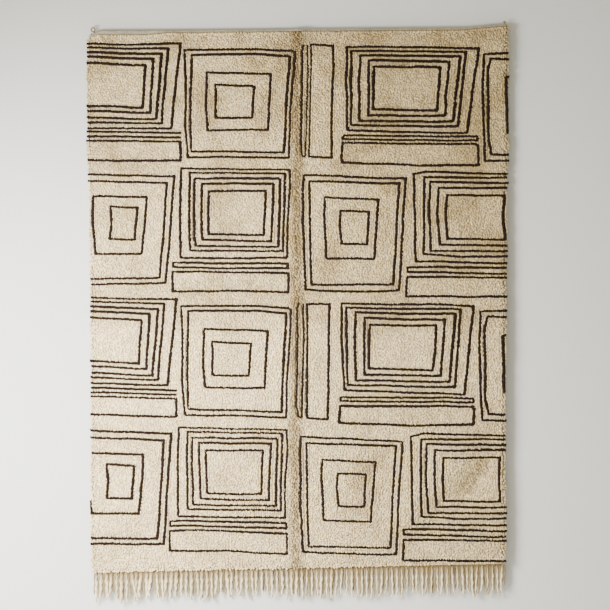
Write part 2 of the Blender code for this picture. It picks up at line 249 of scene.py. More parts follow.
# A line is its bends as x, depth pairs: x from the middle of the rug and depth below the
# middle of its top edge. A ring is closed and clockwise from its top left. OFF lies past a
# side edge, where the line is cut. The same two rows of blocks are knotted twice down the rug.
# Each block has its bends, how boldly its lines are knotted the first time and in the repeat,
# as percent of the usual width, and where its corners lie in the repeat: how far to the right
# of and below an even repeat, clockwise from the top left, because none is knotted twice alike.
OFF = 790
CHART = (
    # first row: nest cut at the left side
    {
        "bold": (122, 115),
        "pulled": ((0, -5), (3, -2), (2, -4), (0, -5)),
        "rings": (
            (-OFF, 53, -605, 57, -430, 53, -449, 212, -463, 364, -OFF, 363),
            (-OFF, 68, -475, 72, -490, 230, -498, 346, -OFF, 341),
            (-OFF, 85, -499, 92, -519, 331, -OFF, 323),
            (-OFF, 102, -530, 109, -541, 307, -OFF, 299),
            (-OFF, 124, -559, 132, -569, 288, -OFF, 280),
        ),
    },
    # first row: level lines and box under that nest
    {
        "bold": (115, 115),
        "pulled": ((0, -1), (0, -2), (0, -6), (0, -14)),
        "rings": ((-OFF, 409, -430, 411, -430, 481, -OFF, 480),),
        "open": (
            (-OFF, 375, -428, 380),
            (-OFF, 393, -428, 396),
        ),
    },
    # first row: square
    {
        "bold": (100, 100),
        "pulled": ((4, 0), (2, -2), (4, 0), (4, -2)),
        "rings": (
            (-415, 76, -140, 74, -21, 80, -10, 85, -12, 140, -20, 230, -28, 330, -31, 471,
             -200, 467, -403, 469, -412, 352, -412, 212),
            (-389, 94, -130, 92, -28, 99, -42, 265, -50, 452, -230, 448, -391, 447, -394, 247),
            (-333, 158, -98, 163, -105, 265, -110, 368, -330, 368, -336, 280),
            (-303, 203, -159, 209, -168, 324, -302, 322, -300, 240),
        ),
    },
    # first row: two upright lines, joined at their feet and knotted finer
    {
        "bold": (75, 80),
        "pulled": ((-2, 0), (0, 0), (-1, 5), (-1, 5)),
        "open": (
            (18, 62, 13, 83, 13, 212, 11, 317, 9, 422, 14, 464, 27, 464, 31, 317, 34, 212,
             34, 61),
        ),
    },
    # first row: upright bar
    {
        "bold": (90, 105),
        "pulled": ((0, 8), (0, 2), (-1, 6), (7, 7)),
        "rings": ((49, 57, 132, 62, 127, 212, 124, 472, 41, 466, 46, 212),),
    },
    # first row: nest
    {
        "bold": (118, 120),
        "pulled": ((-4, -5), (-4, -7), (4, 1), (1, 0)),
        "rings": (
            (180, 65, 500, 66, 661, 71, 640, 220, 621, 380, 400, 376, 183, 370, 177, 212),
            (195, 80, 614, 83, 601, 210, 586, 356, 195, 352),
            (228, 97, 593, 100, 567, 338, 225, 335, 223, 212),
            (260, 116, 555, 120, 542, 245, 538, 316, 257, 316),
            (279, 139, 523, 140, 510, 297, 274, 294),
        ),
    },
    # first row: bar under the nest
    {
        "bold": (110, 120),
        "pulled": ((4, 7), (-1, 1), (-1, 1), (4, 7)),
        "rings": ((172, 389, 655, 393, 659, 400, 658, 408, 167, 403, 165, 396),),
    },
    # first row: box under the bar
    {
        "bold": (110, 120),
        "pulled": ((5, 13), (-2, 3), (-4, -8), (5, 0)),
        "rings": ((165, 416, 655, 421, 660, 430, 660, 496, 446, 498, 160, 488, 160, 471),),
    },
    # first row: nest cut at the right side, with the cut edge of its middle
    {
        "bold": (105, 110),
        "pulled": ((2, -9), (2, -6), (2, -8), (1, -8)),
        "rings": (
            (681, 92, OFF, 86, OFF, 480, 686, 480, 677, 228),
            (707, 109, OFF, 109, OFF, 460, 709, 457, 699, 400, 697, 147),
        ),
        "open": ((773, 173, 760, 176, 763, 261, 766, 382),),
    },
    # second row: squares cut at the left side
    {
        "bold": (100, 125),
        "pulled": ((0, -4), (3, -4), (8, 1), (2, 0)),
        "rings": (
            (-OFF, 531, -452, 538, -467, 730, -483, 930, -OFF, 934),
            (-OFF, 556, -479, 561, -488, 700, -505, 911, -OFF, 914),
            (-748, 612, -554, 614, -558, 700, -571, 823, -741, 823, -749, 708),
            (-686, 649, -587, 654, -596, 769, -688, 769, -682, 708),
        ),
    },
    # second row: nest
    {
        "bold": (110, 90),
        "pulled": ((5, 3), (3, 1), (6, -7), (8, -5)),
        "rings": (
            (-427, 510, -28, 514, -26, 577, -37, 708, -39, 837, -258, 838, -431, 837, -431, 676),
            (-394, 525, -46, 528, -55, 812, -394, 810, -398, 643),
            (-377, 546, -64, 548, -73, 796, -374, 793, -380, 643),
            (-352, 565, -88, 567, -98, 776, -348, 770, -353, 627),
            (-327, 592, -117, 592, -124, 752, -325, 750),
        ),
    },
    # second row: bars under the nest
    {
        "bold": (110, 90),
        "pulled": ((4, -8), (6, -10), (8, -1), (4, -5)),
        "rings": (
            (-456, 855, -36, 859, -33, 876, -459, 872),
            (-459, 890, -346, 886, -33, 894, -33, 963, -258, 957, -457, 960),
        ),
    },
    # second row: square
    {
        "bold": (105, 90),
        "pulled": ((5, 7), (3, 6), (3, 0), (4, -2)),
        "rings": (
            (20, 533, 200, 540, 395, 548, 384, 708, 371, 955, 252, 959, 101, 958, 27, 953,
             18, 741, 16, 578),
            (41, 556, 371, 565, 360, 741, 350, 933, 51, 935, 44, 741),
            (99, 616, 295, 623, 286, 741, 279, 841, 105, 839, 97, 676),
            (157, 665, 260, 667, 254, 787, 160, 787, 154, 715),
        ),
    },
    # second row: nest cut at the right side
    {
        "bold": (105, 95),
        "pulled": ((4, 2), (0, -2), (-4, -9), (4, -1)),
        "rings": (
            (424, 531, 471, 521, OFF, 529, OFF, 856, 431, 850, 427, 643),
            (463, 542, OFF, 542, OFF, 830, 598, 832, 462, 823, 461, 676),
            (484, 559, OFF, 563, OFF, 811, 487, 811, 480, 676),
            (515, 581, OFF, 582, OFF, 790, 518, 788, 511, 676),
            (546, 607, 757, 609, 751, 689, 757, 769, 546, 766, 542, 676),
        ),
    },
    # second row: bars under the nest, cut at the right side
    {
        "bold": (105, 95),
        "pulled": ((2, -3), (0, -5), (0, -6), (3, 0)),
        "rings": (
            (400, 870, OFF, 873, OFF, 895, 400, 888),
            (399, 906, OFF, 908, OFF, 980, 396, 978),
        ),
    },
)
# The rest of this part is in metres.
REPEAT_FROM = (-0.725, 0.060)   # x and depth of the corner where the repeat is measured
REPEAT_DROP = 0.933         # from the first two rows to their repeat, at that corner
REPEAT_DROP_ACROSS = 0.012  # how much more that is for each metre to the right
REPEAT_DROP_DOWN = 0.020    # and down
REPEAT_SHIFT = -0.0146      # how far the repeat lies to the left
WANDER = 0.0026             # how far neighbouring lines stray together
WANDER_LENGTH = 0.10        # and over what length
WAVER = 0.0009              # how far one line strays on its own
WAVER_LENGTH = 0.05
KNOT_WAVER = 0.0011         # and from knot to knot
KNOT_WAVER_LENGTH = 0.011
ROOM_REACH = 0.040          # lines further apart than this do not crowd each other
SAME_STROKE = 8             # knots along a line that never crowd the one they follow
UPRIGHT_BEADS = 0.08        # knots of upright lines are by turns this share wider and narrower
CROWDED = 0.80              # cream tufts nearer to a line than this share of the clearance go
BACK_PITCH = 0.0066         # dark knots along a line, seen on the back

# ---- wear of the pile, and painted shade of its folds (metres) ---------------------------

# Strokes aslant where the pile is ruffled and darkened, the darkening being painted shade of the folds
# there: both ends as x, z, half-width and strength.
RUFFLED_SHADE_STROKES = (
    (0.678, -1.598, 0.612, -1.680, 0.019, 1.50),
    (0.307, -1.559, 0.201, -1.673, 0.024, 0.40),
    (-0.195, -1.570, -0.315, -1.670, 0.040, 0.20),
)
PARTING_ASIDE = -0.0072     # the parted pile lies this far beside the old fold
PARTING_RAGGED = 0.005      # how far the parting's edges stray
PARTING_DRIFT = 0.006       # and the parting as a whole
PAINTED_SHADE_RIM = (0.003, 0.014)  # from the right side: to where the painted shade is full, and to where it ends
RIM_SHADE = 0.30            # the painted shade darkens the tufts by this share
WORN_EDGE = (0.002, 0.008)  # from a side, upright lines thicken from half to full width here
WORN_WIDTH = 0.50           # and the share of their width that is left
WORN_SLIM = 0.22            # share by which parted or ruffled tufts are thinner
WORN_AND_FOLD_SHADE = 0.13           # and darker: painted shade of the parted and ruffled pile
WORN_SPREAD = 0.26          # and differ in tint
WORN_LEAST = 0.30           # each tuft there is worn and aged by this share
WORN_MORE = 0.80            # and up to this much more
AGE_AND_SHADE_FADE = 0.22             # share by which the fold's aged look and painted shade fade
AGE_AND_SHADE_FADE_DEPTH = (0.20, 1.90)


# ---- small helpers -----------------------------------------------------------------------

def linear(code):
    """Turn an sRGB hex colour into linear red, green, blue and alpha."""
    parts = [int(code[i:i + 2], 16) / 255.0 for i in (0, 2, 4)]
    return tuple(c / 12.92 if c <= 0.04045 else ((c + 0.055) / 1.055) ** 2.4 for c in parts) + (1.0,)


def colour_of(value):
    """A colour property as four numbers."""
    return (value[0], value[1], value[2], 1.0)


def add_node(tree, kind, settings=None, values=None, links=None):
    """Add a node with its settings, its sockets' values and the links into it."""
    node = tree.nodes.new(kind)
    for name, value in (settings or {}).items():
        setattr(node, name, value)
    for socket, value in (values or {}).items():
        node.inputs[socket].default_value = value
    for socket, source in (links or {}).items():
        tree.links.new(source, node.inputs[socket])
    return node


def add_math(tree, operation, *given, clamp=False):
    """Add one step of arithmetic on numbers or other nodes' outputs, and return its output."""
    node = add_node(tree, "ShaderNodeMath", {"operation": operation, "use_clamp": clamp})
    for socket, value in zip(node.inputs, given):
        if isinstance(value, bpy.types.NodeSocket):
            tree.links.new(value, socket)
        else:
            socket.default_value = value
    return node.outputs[0]


def table_value(table, position, column):
    """Read a table by straight lines between its rows, and hold it level past its ends."""
    keys = [row[0] for row in table]
    if position <= keys[0]:
        return table[0][column]
    if position >= keys[-1]:
        return table[-1][column]
    after = bisect_right(keys, position)
    low, high = table[after - 1], table[after]
    share = (position - low[0]) / (high[0] - low[0])
    return low[column] + share * (high[column] - low[column])


def smooth_step(value, start, end):
    """Ease from 0 at start to 1 at end without a corner."""
    share = min(max((value - start) / (end - start), 0.0), 1.0)
    return share * share * (3.0 - 2.0 * share)


def either_way(draw):
    """A seeded draw between -1 and 1."""
    return 2.0 * draw.random() - 1.0


def soft_noise(x, y, lane):
    """Smooth noise between about -1 and 1, a different one for each lane. The caller divides x
    and y by the length over which the noise changes."""
    return noise.noise(Vector((x, y, 17.31 * lane + 0.37)))


# ---- the cloth's surface -----------------------------------------------------------------

def top_z(x):
    """Height of the top edge."""
    return table_value(TOP_EDGE, x, 1)


def bottom_z(x):
    """Height of the bottom edge of the woven ground, a straight line."""
    share = (x - FRINGE_LEFT) / (FRINGE_RIGHT - FRINGE_LEFT)
    return BOTTOM_LEFT_Z + share * (BOTTOM_RIGHT_Z - BOTTOM_LEFT_Z)


def stroke_sum(strokes, x, z):
    """Sum at one place of soft-edged strokes given by their ends, half-width and height."""
    total = 0.0
    for x0, z0, x1, z1, half_width, height in strokes:
        length = math.hypot(x1 - x0, z1 - z0)
        along = ((x - x0) * (x1 - x0) + (z - z0) * (z1 - z0)) / length
        across = ((x - x0) * (z1 - z0) - (z - z0) * (x1 - x0)) / length
        past_end = max(-along, along - length, 0.0)
        total += height * math.exp(-(across / half_width) ** 2 - (past_end / half_width) ** 2)
    return total


def hang(x, z):
    """Y of the cloth's back: soft folds, a broad sway and the free corner's stand."""
    sway = SWAY * math.sin(math.tau * x / SWAY_LENGTH_X) * math.sin(math.tau * z / SWAY_LENGTH_Z)
    stand = CORNER_STAND * smooth_step(x, *CORNER_STAND_X) * smooth_step(-z, *CORNER_STAND_DEPTH)
    return sway - stroke_sum(FOLDS, x, z) - stand


def face_normal(x, z):
    """Direction out of the pile face, from the slope of the hanging cloth."""
    step = 0.004
    slope_x = (hang(x + step, z) - hang(x - step, z)) / (2.0 * step)
    slope_z = (hang(x, z + step) - hang(x, z - step)) / (2.0 * step)
    return Vector((slope_x, -1.0, slope_z)).normalized()


def side_edges(z):
    """X of the left and the right edge at one height."""
    return table_value(SIDE_EDGES, -z, 1), table_value(SIDE_EDGES, -z, 2)


def pile_start(x):
    """Depth of the first roots below the top edge."""
    return BARE_BAND + (PILE_START - BARE_BAND) * smooth_step(x, *BARE_BAND_X)


def cloth_point(across, down, inset):
    """X and Z of a place on the cloth, its sides drawn in by inset."""
    left, right = side_edges(down * bottom_z(0.0))
    x = left + inset + across * (right - left - 2.0 * inset)
    return x, top_z(x) + down * (bottom_z(x) - top_z(x))


def fold_x(z):
    """X of the old fold down the middle."""
    x0, z0, x1, z1 = FOLDS[0][:4]
    return x0 + (z - z0) / (z1 - z0) * (x1 - x0)


# ---- meshes and pieces -------------------------------------------------------------------

def add_piece(name, mesh, material=None):
    """Link a mesh at the origin as an object of that name."""
    mesh.name = name
    thing = bpy.data.objects.new(name, mesh)
    bpy.context.scene.collection.objects.link(thing)
    if material is not None:
        mesh.materials.clear()
        mesh.materials.append(material)
    return thing


def give_to_rug(thing, slot, *nodes):
    """Let a finished piece ride on the rug, in place of the solids it stands for. The slot is not used.
    """
    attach(thing, BODY)
    if nodes:
        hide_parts(*nodes)


def closed_mesh(name, work):
    """Turn a bmesh into a smooth mesh with its faces pointing out."""
    bmesh.ops.recalc_face_normals(work, faces=work.faces)
    mesh = bpy.data.meshes.new(name)
    work.to_mesh(mesh)
    work.free()
    mesh.shade_smooth()
    return mesh


def point_mesh(name, knots):
    """Loose points, each with its direction, size and tint, for a node tree to grow knots on."""
    mesh = bpy.data.meshes.new(name)
    mesh.vertices.add(len(knots))
    mesh.vertices.foreach_set("co", np.array([k["at"] for k in knots], np.float32).ravel())
    turns = [k["way"].to_track_quat("Z", "Y").to_euler() for k in knots]
    lean = mesh.attributes.new("lean", "FLOAT_VECTOR", "POINT")
    lean.data.foreach_set("vector", np.array(turns, np.float32).ravel())
    size = mesh.attributes.new("size", "FLOAT_VECTOR", "POINT")
    size.data.foreach_set("vector", np.array([k["size"] for k in knots], np.float32).ravel())
    for key in ("tint", "age"):
        values = mesh.attributes.new(key, "FLOAT", "POINT")
        values.data.foreach_set("value", np.array([k.get(key, 0.0) for k in knots], np.float32))
    return mesh


def grow(name, base, tree, inputs):
    """Run a node tree on a base mesh and keep its result as a plain mesh piece."""
    thing = add_piece(name, base)
    modifier = thing.modifiers.new("Grow", "NODES")
    modifier.node_group = tree
    for item in tree.interface.items_tree:
        if item.in_out == "INPUT" and item.name in inputs:
            modifier[item.identifier] = inputs[item.name]
    bpy.context.view_layer.update()
    depsgraph = bpy.context.evaluated_depsgraph_get()
    grown = bpy.data.meshes.new_from_object(thing.evaluated_get(depsgraph))
    if not len(grown.polygons):
        raise RuntimeError(f"{name}: the node tree made nothing")
    thing.modifiers.clear()
    thing.data = grown
    bpy.data.meshes.remove(base)
    grown.name = name
    return thing


def spread_cells(mesh, loops_each):
    """Give each copy in a grown mesh its own cell of the OFBake map, so none share texels."""
    layer = mesh.uv_layers.get("OFBake")
    if layer is None:
        raise RuntimeError(f"{mesh.name}: its knots carry no OFBake map")
    flat = np.empty(len(mesh.loops) * 2, np.float32)
    layer.uv.foreach_get("vector", flat)
    local = flat.reshape(-1, loops_each, 2)
    count = len(local)
    across = math.ceil(math.sqrt(count))
    index = np.arange(count)
    corner = np.stack([index % across, index // across], axis=1)[:, None, :]
    # Each copy fills the middle four fifths of its cell.
    placed = (corner + 0.1 + 0.8 * local) / across
    layer.uv.foreach_set("vector", placed.astype(np.float32).ravel())


def knot_shape(name, rings, tip, sides, sway=0.0, pointed=False):
    """A small closed spindle along Z: a flat or pointed foot, rings of (height, radius), then a
    tip; unit sized."""
    work = bmesh.new()
    loops = []
    for height, radius in rings:
        loops.append([
            work.verts.new((
                radius * math.cos(math.tau * k / sides),
                radius * math.sin(math.tau * k / sides),
                height,
            ))
            for k in range(sides)
        ])
    end = work.verts.new((sway, 0.0, tip))
    if pointed:
        start = work.verts.new((0.0, 0.0, 0.0))
        for k in range(sides):
            work.faces.new((loops[0][(k + 1) % sides], loops[0][k], start))
    else:
        work.faces.new(list(reversed(loops[0])))
    for here, after in zip(loops, loops[1:]):
        for k in range(sides):
            nxt = (k + 1) % sides
            work.faces.new((here[k], here[nxt], after[nxt], after[k]))
    for k in range(sides):
        work.faces.new((loops[-1][k], loops[-1][(k + 1) % sides], end))
    # Unrolled map: the turn about the axis across and the height up. A face over the seam goes
    # on past 1, so all is drawn in by 1.3, and a corner on the axis lies midway.
    map_layer = work.loops.layers.uv.new("OFBake")
    for face in work.faces:
        turns = [math.atan2(loop.vert.co.y, loop.vert.co.x) / math.tau % 1.0 for loop in face.loops]
        for loop, turn in zip(face.loops, turns):
            if max(turns) - turn > 0.5:
                turn += 1.0
            on_axis = loop.vert.co.xy.length < 1e-6
            mean = sum(t + (1.0 if max(turns) - t > 0.5 else 0.0) for t in turns) / len(turns)
            u = mean if on_axis else turn
            loop[map_layer].uv = (u / 1.3, loop.vert.co.z / max(tip, 1e-6))
    mesh = closed_mesh(name, work)
    rise = mesh.attributes.new("rise", "FLOAT", "POINT")
    for vert, value in zip(mesh.vertices, rise.data):
        value.value = max(vert.co.z, 0.0) / tip
    return add_piece(name, mesh)


def loop_count(shape):
    """Face corners of one copy."""
    return len(shape.data.loops)


def drop_shape(shape):
    """Remove a shape that was only there to be copied."""
    mesh = shape.data
    bpy.data.objects.remove(shape)
    bpy.data.meshes.remove(mesh)


# ---- node trees --------------------------------------------------------------------------

def knots_on_points():
    """Tree that puts a copy of a shape on every point, turned and sized as the point says."""
    tree = bpy.data.node_groups.get("Knots on points")
    if tree is not None:
        return tree
    tree = bpy.data.node_groups.new("Knots on points", "GeometryNodeTree")
    for name, kind, default in (
        ("Points", "NodeSocketGeometry", None),
        ("Shape", "NodeSocketObject", None),
        ("Thinnest", "NodeSocketFloat", 0.88),
        ("Thickest", "NodeSocketFloat", 1.12),
        ("Shortest", "NodeSocketFloat", 0.90),
        ("Longest", "NodeSocketFloat", 1.08),
        ("Full Turn", "NodeSocketFloat", math.tau),
        ("Seed", "NodeSocketInt", 1),
        ("Material", "NodeSocketMaterial", None),
    ):
        socket = tree.interface.new_socket(name, in_out="INPUT", socket_type=kind)
        if default is not None:
            socket.default_value = default
    tree.interface.new_socket("Knots", in_out="OUTPUT", socket_type="NodeSocketGeometry")
    given = add_node(tree, "NodeGroupInput").outputs
    vector = {"data_type": "FLOAT_VECTOR"}
    lean = add_node(tree, "GeometryNodeInputNamedAttribute", vector, {"Name": "lean"})
    size = add_node(tree, "GeometryNodeInputNamedAttribute", vector, {"Name": "size"})
    width = add_node(
        tree, "FunctionNodeRandomValue", {"data_type": "FLOAT"},
        links={2: given["Thinnest"], 3: given["Thickest"], "Seed": given["Seed"]},
    )
    length_seed = add_math(tree, "ADD", given["Seed"], 101.0)
    length = add_node(
        tree, "FunctionNodeRandomValue", {"data_type": "FLOAT"},
        links={2: given["Shortest"], 3: given["Longest"], "Seed": length_seed},
    )
    spin_seed = add_math(tree, "ADD", given["Seed"], 202.0)
    spin = add_node(
        tree, "FunctionNodeRandomValue", {"data_type": "FLOAT"}, {2: 0.0},
        {3: given["Full Turn"], "Seed": spin_seed},
    )
    uneven = add_node(
        tree, "ShaderNodeCombineXYZ",
        links={"X": width.outputs[1], "Y": width.outputs[1], "Z": length.outputs[1]},
    )
    scale = add_node(
        tree, "ShaderNodeVectorMath", {"operation": "MULTIPLY"},
        links={0: size.outputs["Attribute"], 1: uneven.outputs[0]},
    )
    turned = add_node(tree, "FunctionNodeEulerToRotation", links={"Euler": lean.outputs["Attribute"]})
    shape = add_node(
        tree, "GeometryNodeObjectInfo", {"transform_space": "ORIGINAL"},
        links={"Object": given["Shape"]},
    )
    copies = add_node(
        tree, "GeometryNodeInstanceOnPoints",
        links={
            "Points": given["Points"], "Instance": shape.outputs["Geometry"],
            "Rotation": turned.outputs["Rotation"], "Scale": scale.outputs["Vector"],
        },
    )
    about_own_axis = add_node(tree, "ShaderNodeCombineXYZ", links={"Z": spin.outputs[1]})
    own_turn = add_node(tree, "FunctionNodeEulerToRotation", links={"Euler": about_own_axis.outputs[0]})
    spun = add_node(
        tree, "GeometryNodeRotateInstances",
        links={"Instances": copies.outputs["Instances"], "Rotation": own_turn.outputs["Rotation"]},
    )
    real = add_node(tree, "GeometryNodeRealizeInstances", links={"Geometry": spun.outputs["Instances"]})
    made = add_node(
        tree, "GeometryNodeSetMaterial",
        links={"Geometry": real.outputs["Geometry"], "Material": given["Material"]},
    )
    add_node(tree, "NodeGroupOutput", links={"Knots": made.outputs["Geometry"]})
    return tree


def yarn_on_lines():
    """Tree that lays a twisted yarn of a given section along every polyline of a mesh."""
    tree = bpy.data.node_groups.get("Yarn on lines")
    if tree is not None:
        return tree
    tree = bpy.data.node_groups.new("Yarn on lines", "GeometryNodeTree")
    for name, kind, default in (
        ("Lines", "NodeSocketGeometry", None),
        ("Section", "NodeSocketObject", None),
        ("Turns per Metre", "NodeSocketFloat", 60.0),
        ("Seed", "NodeSocketInt", 1),
        ("Material", "NodeSocketMaterial", None),
    ):
        socket = tree.interface.new_socket(name, in_out="INPUT", socket_type=kind)
        if default is not None:
            socket.default_value = default
    tree.interface.new_socket("Yarn", in_out="OUTPUT", socket_type="NodeSocketGeometry")
    given = add_node(tree, "NodeGroupInput").outputs
    curves = add_node(tree, "GeometryNodeMeshToCurve", links={"Mesh": given["Lines"]})
    thickness = add_node(
        tree, "GeometryNodeInputNamedAttribute", {"data_type": "FLOAT"}, {"Name": "thickness"}
    )
    sized = add_node(
        tree, "GeometryNodeSetCurveRadius",
        links={"Curve": curves.outputs["Curve"], "Radius": thickness.outputs["Attribute"]},
    )
    place = add_node(tree, "GeometryNodeSplineParameter")
    turns = add_math(tree, "MULTIPLY", place.outputs["Length"], given["Turns per Metre"])
    angle = add_math(tree, "MULTIPLY", turns, math.tau)
    tilted = add_node(
        tree, "GeometryNodeSetCurveTilt",
        links={"Curve": sized.outputs["Curve"], "Tilt": angle},
    )
    section = add_node(
        tree, "GeometryNodeObjectInfo", {"transform_space": "ORIGINAL"},
        links={"Object": given["Section"]},
    )
    section_curve = add_node(
        tree, "GeometryNodeMeshToCurve", links={"Mesh": section.outputs["Geometry"]}
    )
    tubes = add_node(
        tree, "GeometryNodeCurveToMesh", None, {"Fill Caps": True},
        {"Curve": tilted.outputs["Curve"], "Profile Curve": section_curve.outputs["Curve"]},
    )
    if "Scale" in tubes.inputs:
        radius = add_node(tree, "GeometryNodeInputRadius")
        tree.links.new(radius.outputs[0], tubes.inputs["Scale"])
    smooth = add_node(tree, "GeometryNodeSetShadeSmooth", links={"Geometry": tubes.outputs["Mesh"]})
    real = add_node(
        tree, "GeometryNodeRealizeInstances", links={"Geometry": smooth.outputs["Geometry"]}
    )
    made = add_node(
        tree, "GeometryNodeSetMaterial",
        links={"Geometry": real.outputs["Geometry"], "Material": given["Material"]},
    )
    add_node(tree, "NodeGroupOutput", links={"Yarn": made.outputs["Geometry"]})
    return tree


# ---- materials ---------------------------------------------------------------------------

def new_material(name):
    """An empty node material with its shader, ready to be fed."""
    material = bpy.data.materials.new(name)
    material.use_nodes = True
    return material, material.node_tree, material.node_tree.nodes["Principled BSDF"]


def pile_wool(name, tip, root, aged_and_shaded, shade, patch, dust_and_shade, sheen, speckle):
    """Hand-spun undyed wool, cut pile: matt and soft, paler at the open tips and darker down at the
    roots, which is painted shade between the tufts; each tuft a little lighter or darker, with broad
    patches of duskier fleece, and darker, yellower wool towards the top edge and to the right, partly
    dust and partly painted shade."""
    material, tree, shader = new_material(name)
    rise = add_node(tree, "ShaderNodeAttribute", {"attribute_name": "rise"})
    tint = add_node(tree, "ShaderNodeAttribute", {"attribute_name": "tint"})
    age = add_node(tree, "ShaderNodeAttribute", {"attribute_name": "age"})
    place = add_node(tree, "ShaderNodeTexCoord")
    parts = add_node(tree, "ShaderNodeSeparateXYZ", links={0: place.outputs["Object"]})
    depth = add_node(
        tree, "ShaderNodeMapRange", {"interpolation_type": "SMOOTHSTEP"},
        {"From Min": 0.15, "From Max": 0.85, "To Min": 0.0, "To Max": 1.0},
        {"Value": rise.outputs["Fac"]},
    )
    # From root to tip: the darker roots are painted shade down between the tufts.
    wool = add_node(
        tree, "ShaderNodeMix", {"data_type": "RGBA"}, {6: root, 7: tip}, {0: depth.outputs[0]}
    )
    # Fleece patches about 180 mm across. Darker and yellower over the upper 1.1 m, most of it in the
    # upper 0.4 m, a little from 1.3 m down, and more so to the right: partly dust, partly painted shade
    # where the light falls off.
    clouds = add_node(
        tree, "ShaderNodeTexNoise", None, {"Scale": 5.5, "Detail": 4.0, "Roughness": 0.6},
        {"Vector": place.outputs["Object"]},
    )
    patchy = add_node(
        tree, "ShaderNodeMapRange", None,
        {"From Min": 0.46, "From Max": 0.68, "To Min": 0.0, "To Max": patch},
        {"Value": clouds.outputs["Fac"]},
    )
    lower = add_node(
        tree, "ShaderNodeMapRange", None, {"From Min": 0.0, "From Max": -2.0},
        {"Value": parts.outputs["Z"]},
    )
    dusty_shaded = add_node(tree, "ShaderNodeValToRGB", links={0: lower.outputs[0]})
    stops = dusty_shaded.color_ramp.elements
    stops[0].position, stops[1].position = 0.20, 0.73
    for level in (0.30, 0.53, 0.57, 0.67):
        stops.new(level)
    for stop, amount in zip(stops, (1.45, 1.05, 1.00, 0.0, 0.0, 0.30)):
        stop.color = (amount * dust_and_shade, amount * dust_and_shade, amount * dust_and_shade, 1.0)
    darker_right = add_node(
        tree, "ShaderNodeMapRange", {"interpolation_type": "SMOOTHSTEP"},
        {"From Min": -0.10, "From Max": 0.30, "To Min": 0.0, "To Max": 1.3 * dust_and_shade},
        {"Value": parts.outputs["X"]},
    )
    # The patches are duskiest where the dust and the painted shade are.
    patch_depth = add_math(tree, "MULTIPLY_ADD", dusty_shaded.outputs[0], 2.2, 0.4)
    patch_here = add_math(tree, "MULTIPLY", patchy.outputs[0], patch_depth)
    outer = add_math(tree, "ADD", darker_right.outputs[0], dusty_shaded.outputs[0])
    dusky = add_math(tree, "ADD", patch_here, outer, clamp=True)
    # Ends of yarn about 6 mm across, some paler and some duskier.
    ends = add_node(
        tree, "ShaderNodeTexNoise", None, {"Scale": 160.0, "Detail": 1.0, "Roughness": 0.5},
        {"Vector": place.outputs["Object"]},
    )
    speckled = add_node(
        tree, "ShaderNodeMapRange", None,
        {"From Min": 0.36, "From Max": 0.64, "To Min": 1.0 - speckle, "To Max": 1.0 + speckle},
        {"Value": ends.outputs["Fac"]},
    )
    toned = add_math(tree, "MULTIPLY", tint.outputs["Fac"], speckled.outputs[0])
    shaded = add_node(
        tree, "ShaderNodeMix", {"data_type": "RGBA"}, {7: shade},
        {0: dusky, 6: wool.outputs[2]},
    )
    # Along the old fold and the strokes aslant: partly aged wool, partly painted shade of the parted
    # pile.
    old = add_node(
        tree, "ShaderNodeMix", {"data_type": "RGBA"}, {7: aged_and_shaded},
        {0: age.outputs["Fac"], 6: shaded.outputs[2]},
    )
    tinted = add_node(
        tree, "ShaderNodeVectorMath", {"operation": "SCALE"},
        links={0: old.outputs[2], "Scale": toned},
    )
    tree.links.new(tinted.outputs["Vector"], shader.inputs["Base Color"])
    # Locks of fibre 1.3 mm thick; single fibres are too fine to show, so they are drawn as locks.
    combed = add_node(
        tree, "ShaderNodeMapping", None, {"Scale": (1.0, 1.0, 0.25)},
        {"Vector": place.outputs["Object"]},
    )
    fibres = add_node(
        tree, "ShaderNodeTexNoise", None,
        {"Scale": 760.0, "Detail": 3.0, "Roughness": 0.6, "Distortion": 0.4},
        {"Vector": combed.outputs["Vector"]},
    )
    bump = add_node(
        tree, "ShaderNodeBump", None, {"Strength": 0.7, "Distance": 0.0018},
        {"Height": fibres.outputs["Fac"]},
    )
    tree.links.new(bump.outputs["Normal"], shader.inputs["Normal"])
    shader.inputs["Roughness"].default_value = 0.95
    shader.inputs["Specular IOR Level"].default_value = 0.15
    shader.inputs["Sheen Weight"].default_value = sheen
    shader.inputs["Sheen Roughness"].default_value = 0.6
    return material


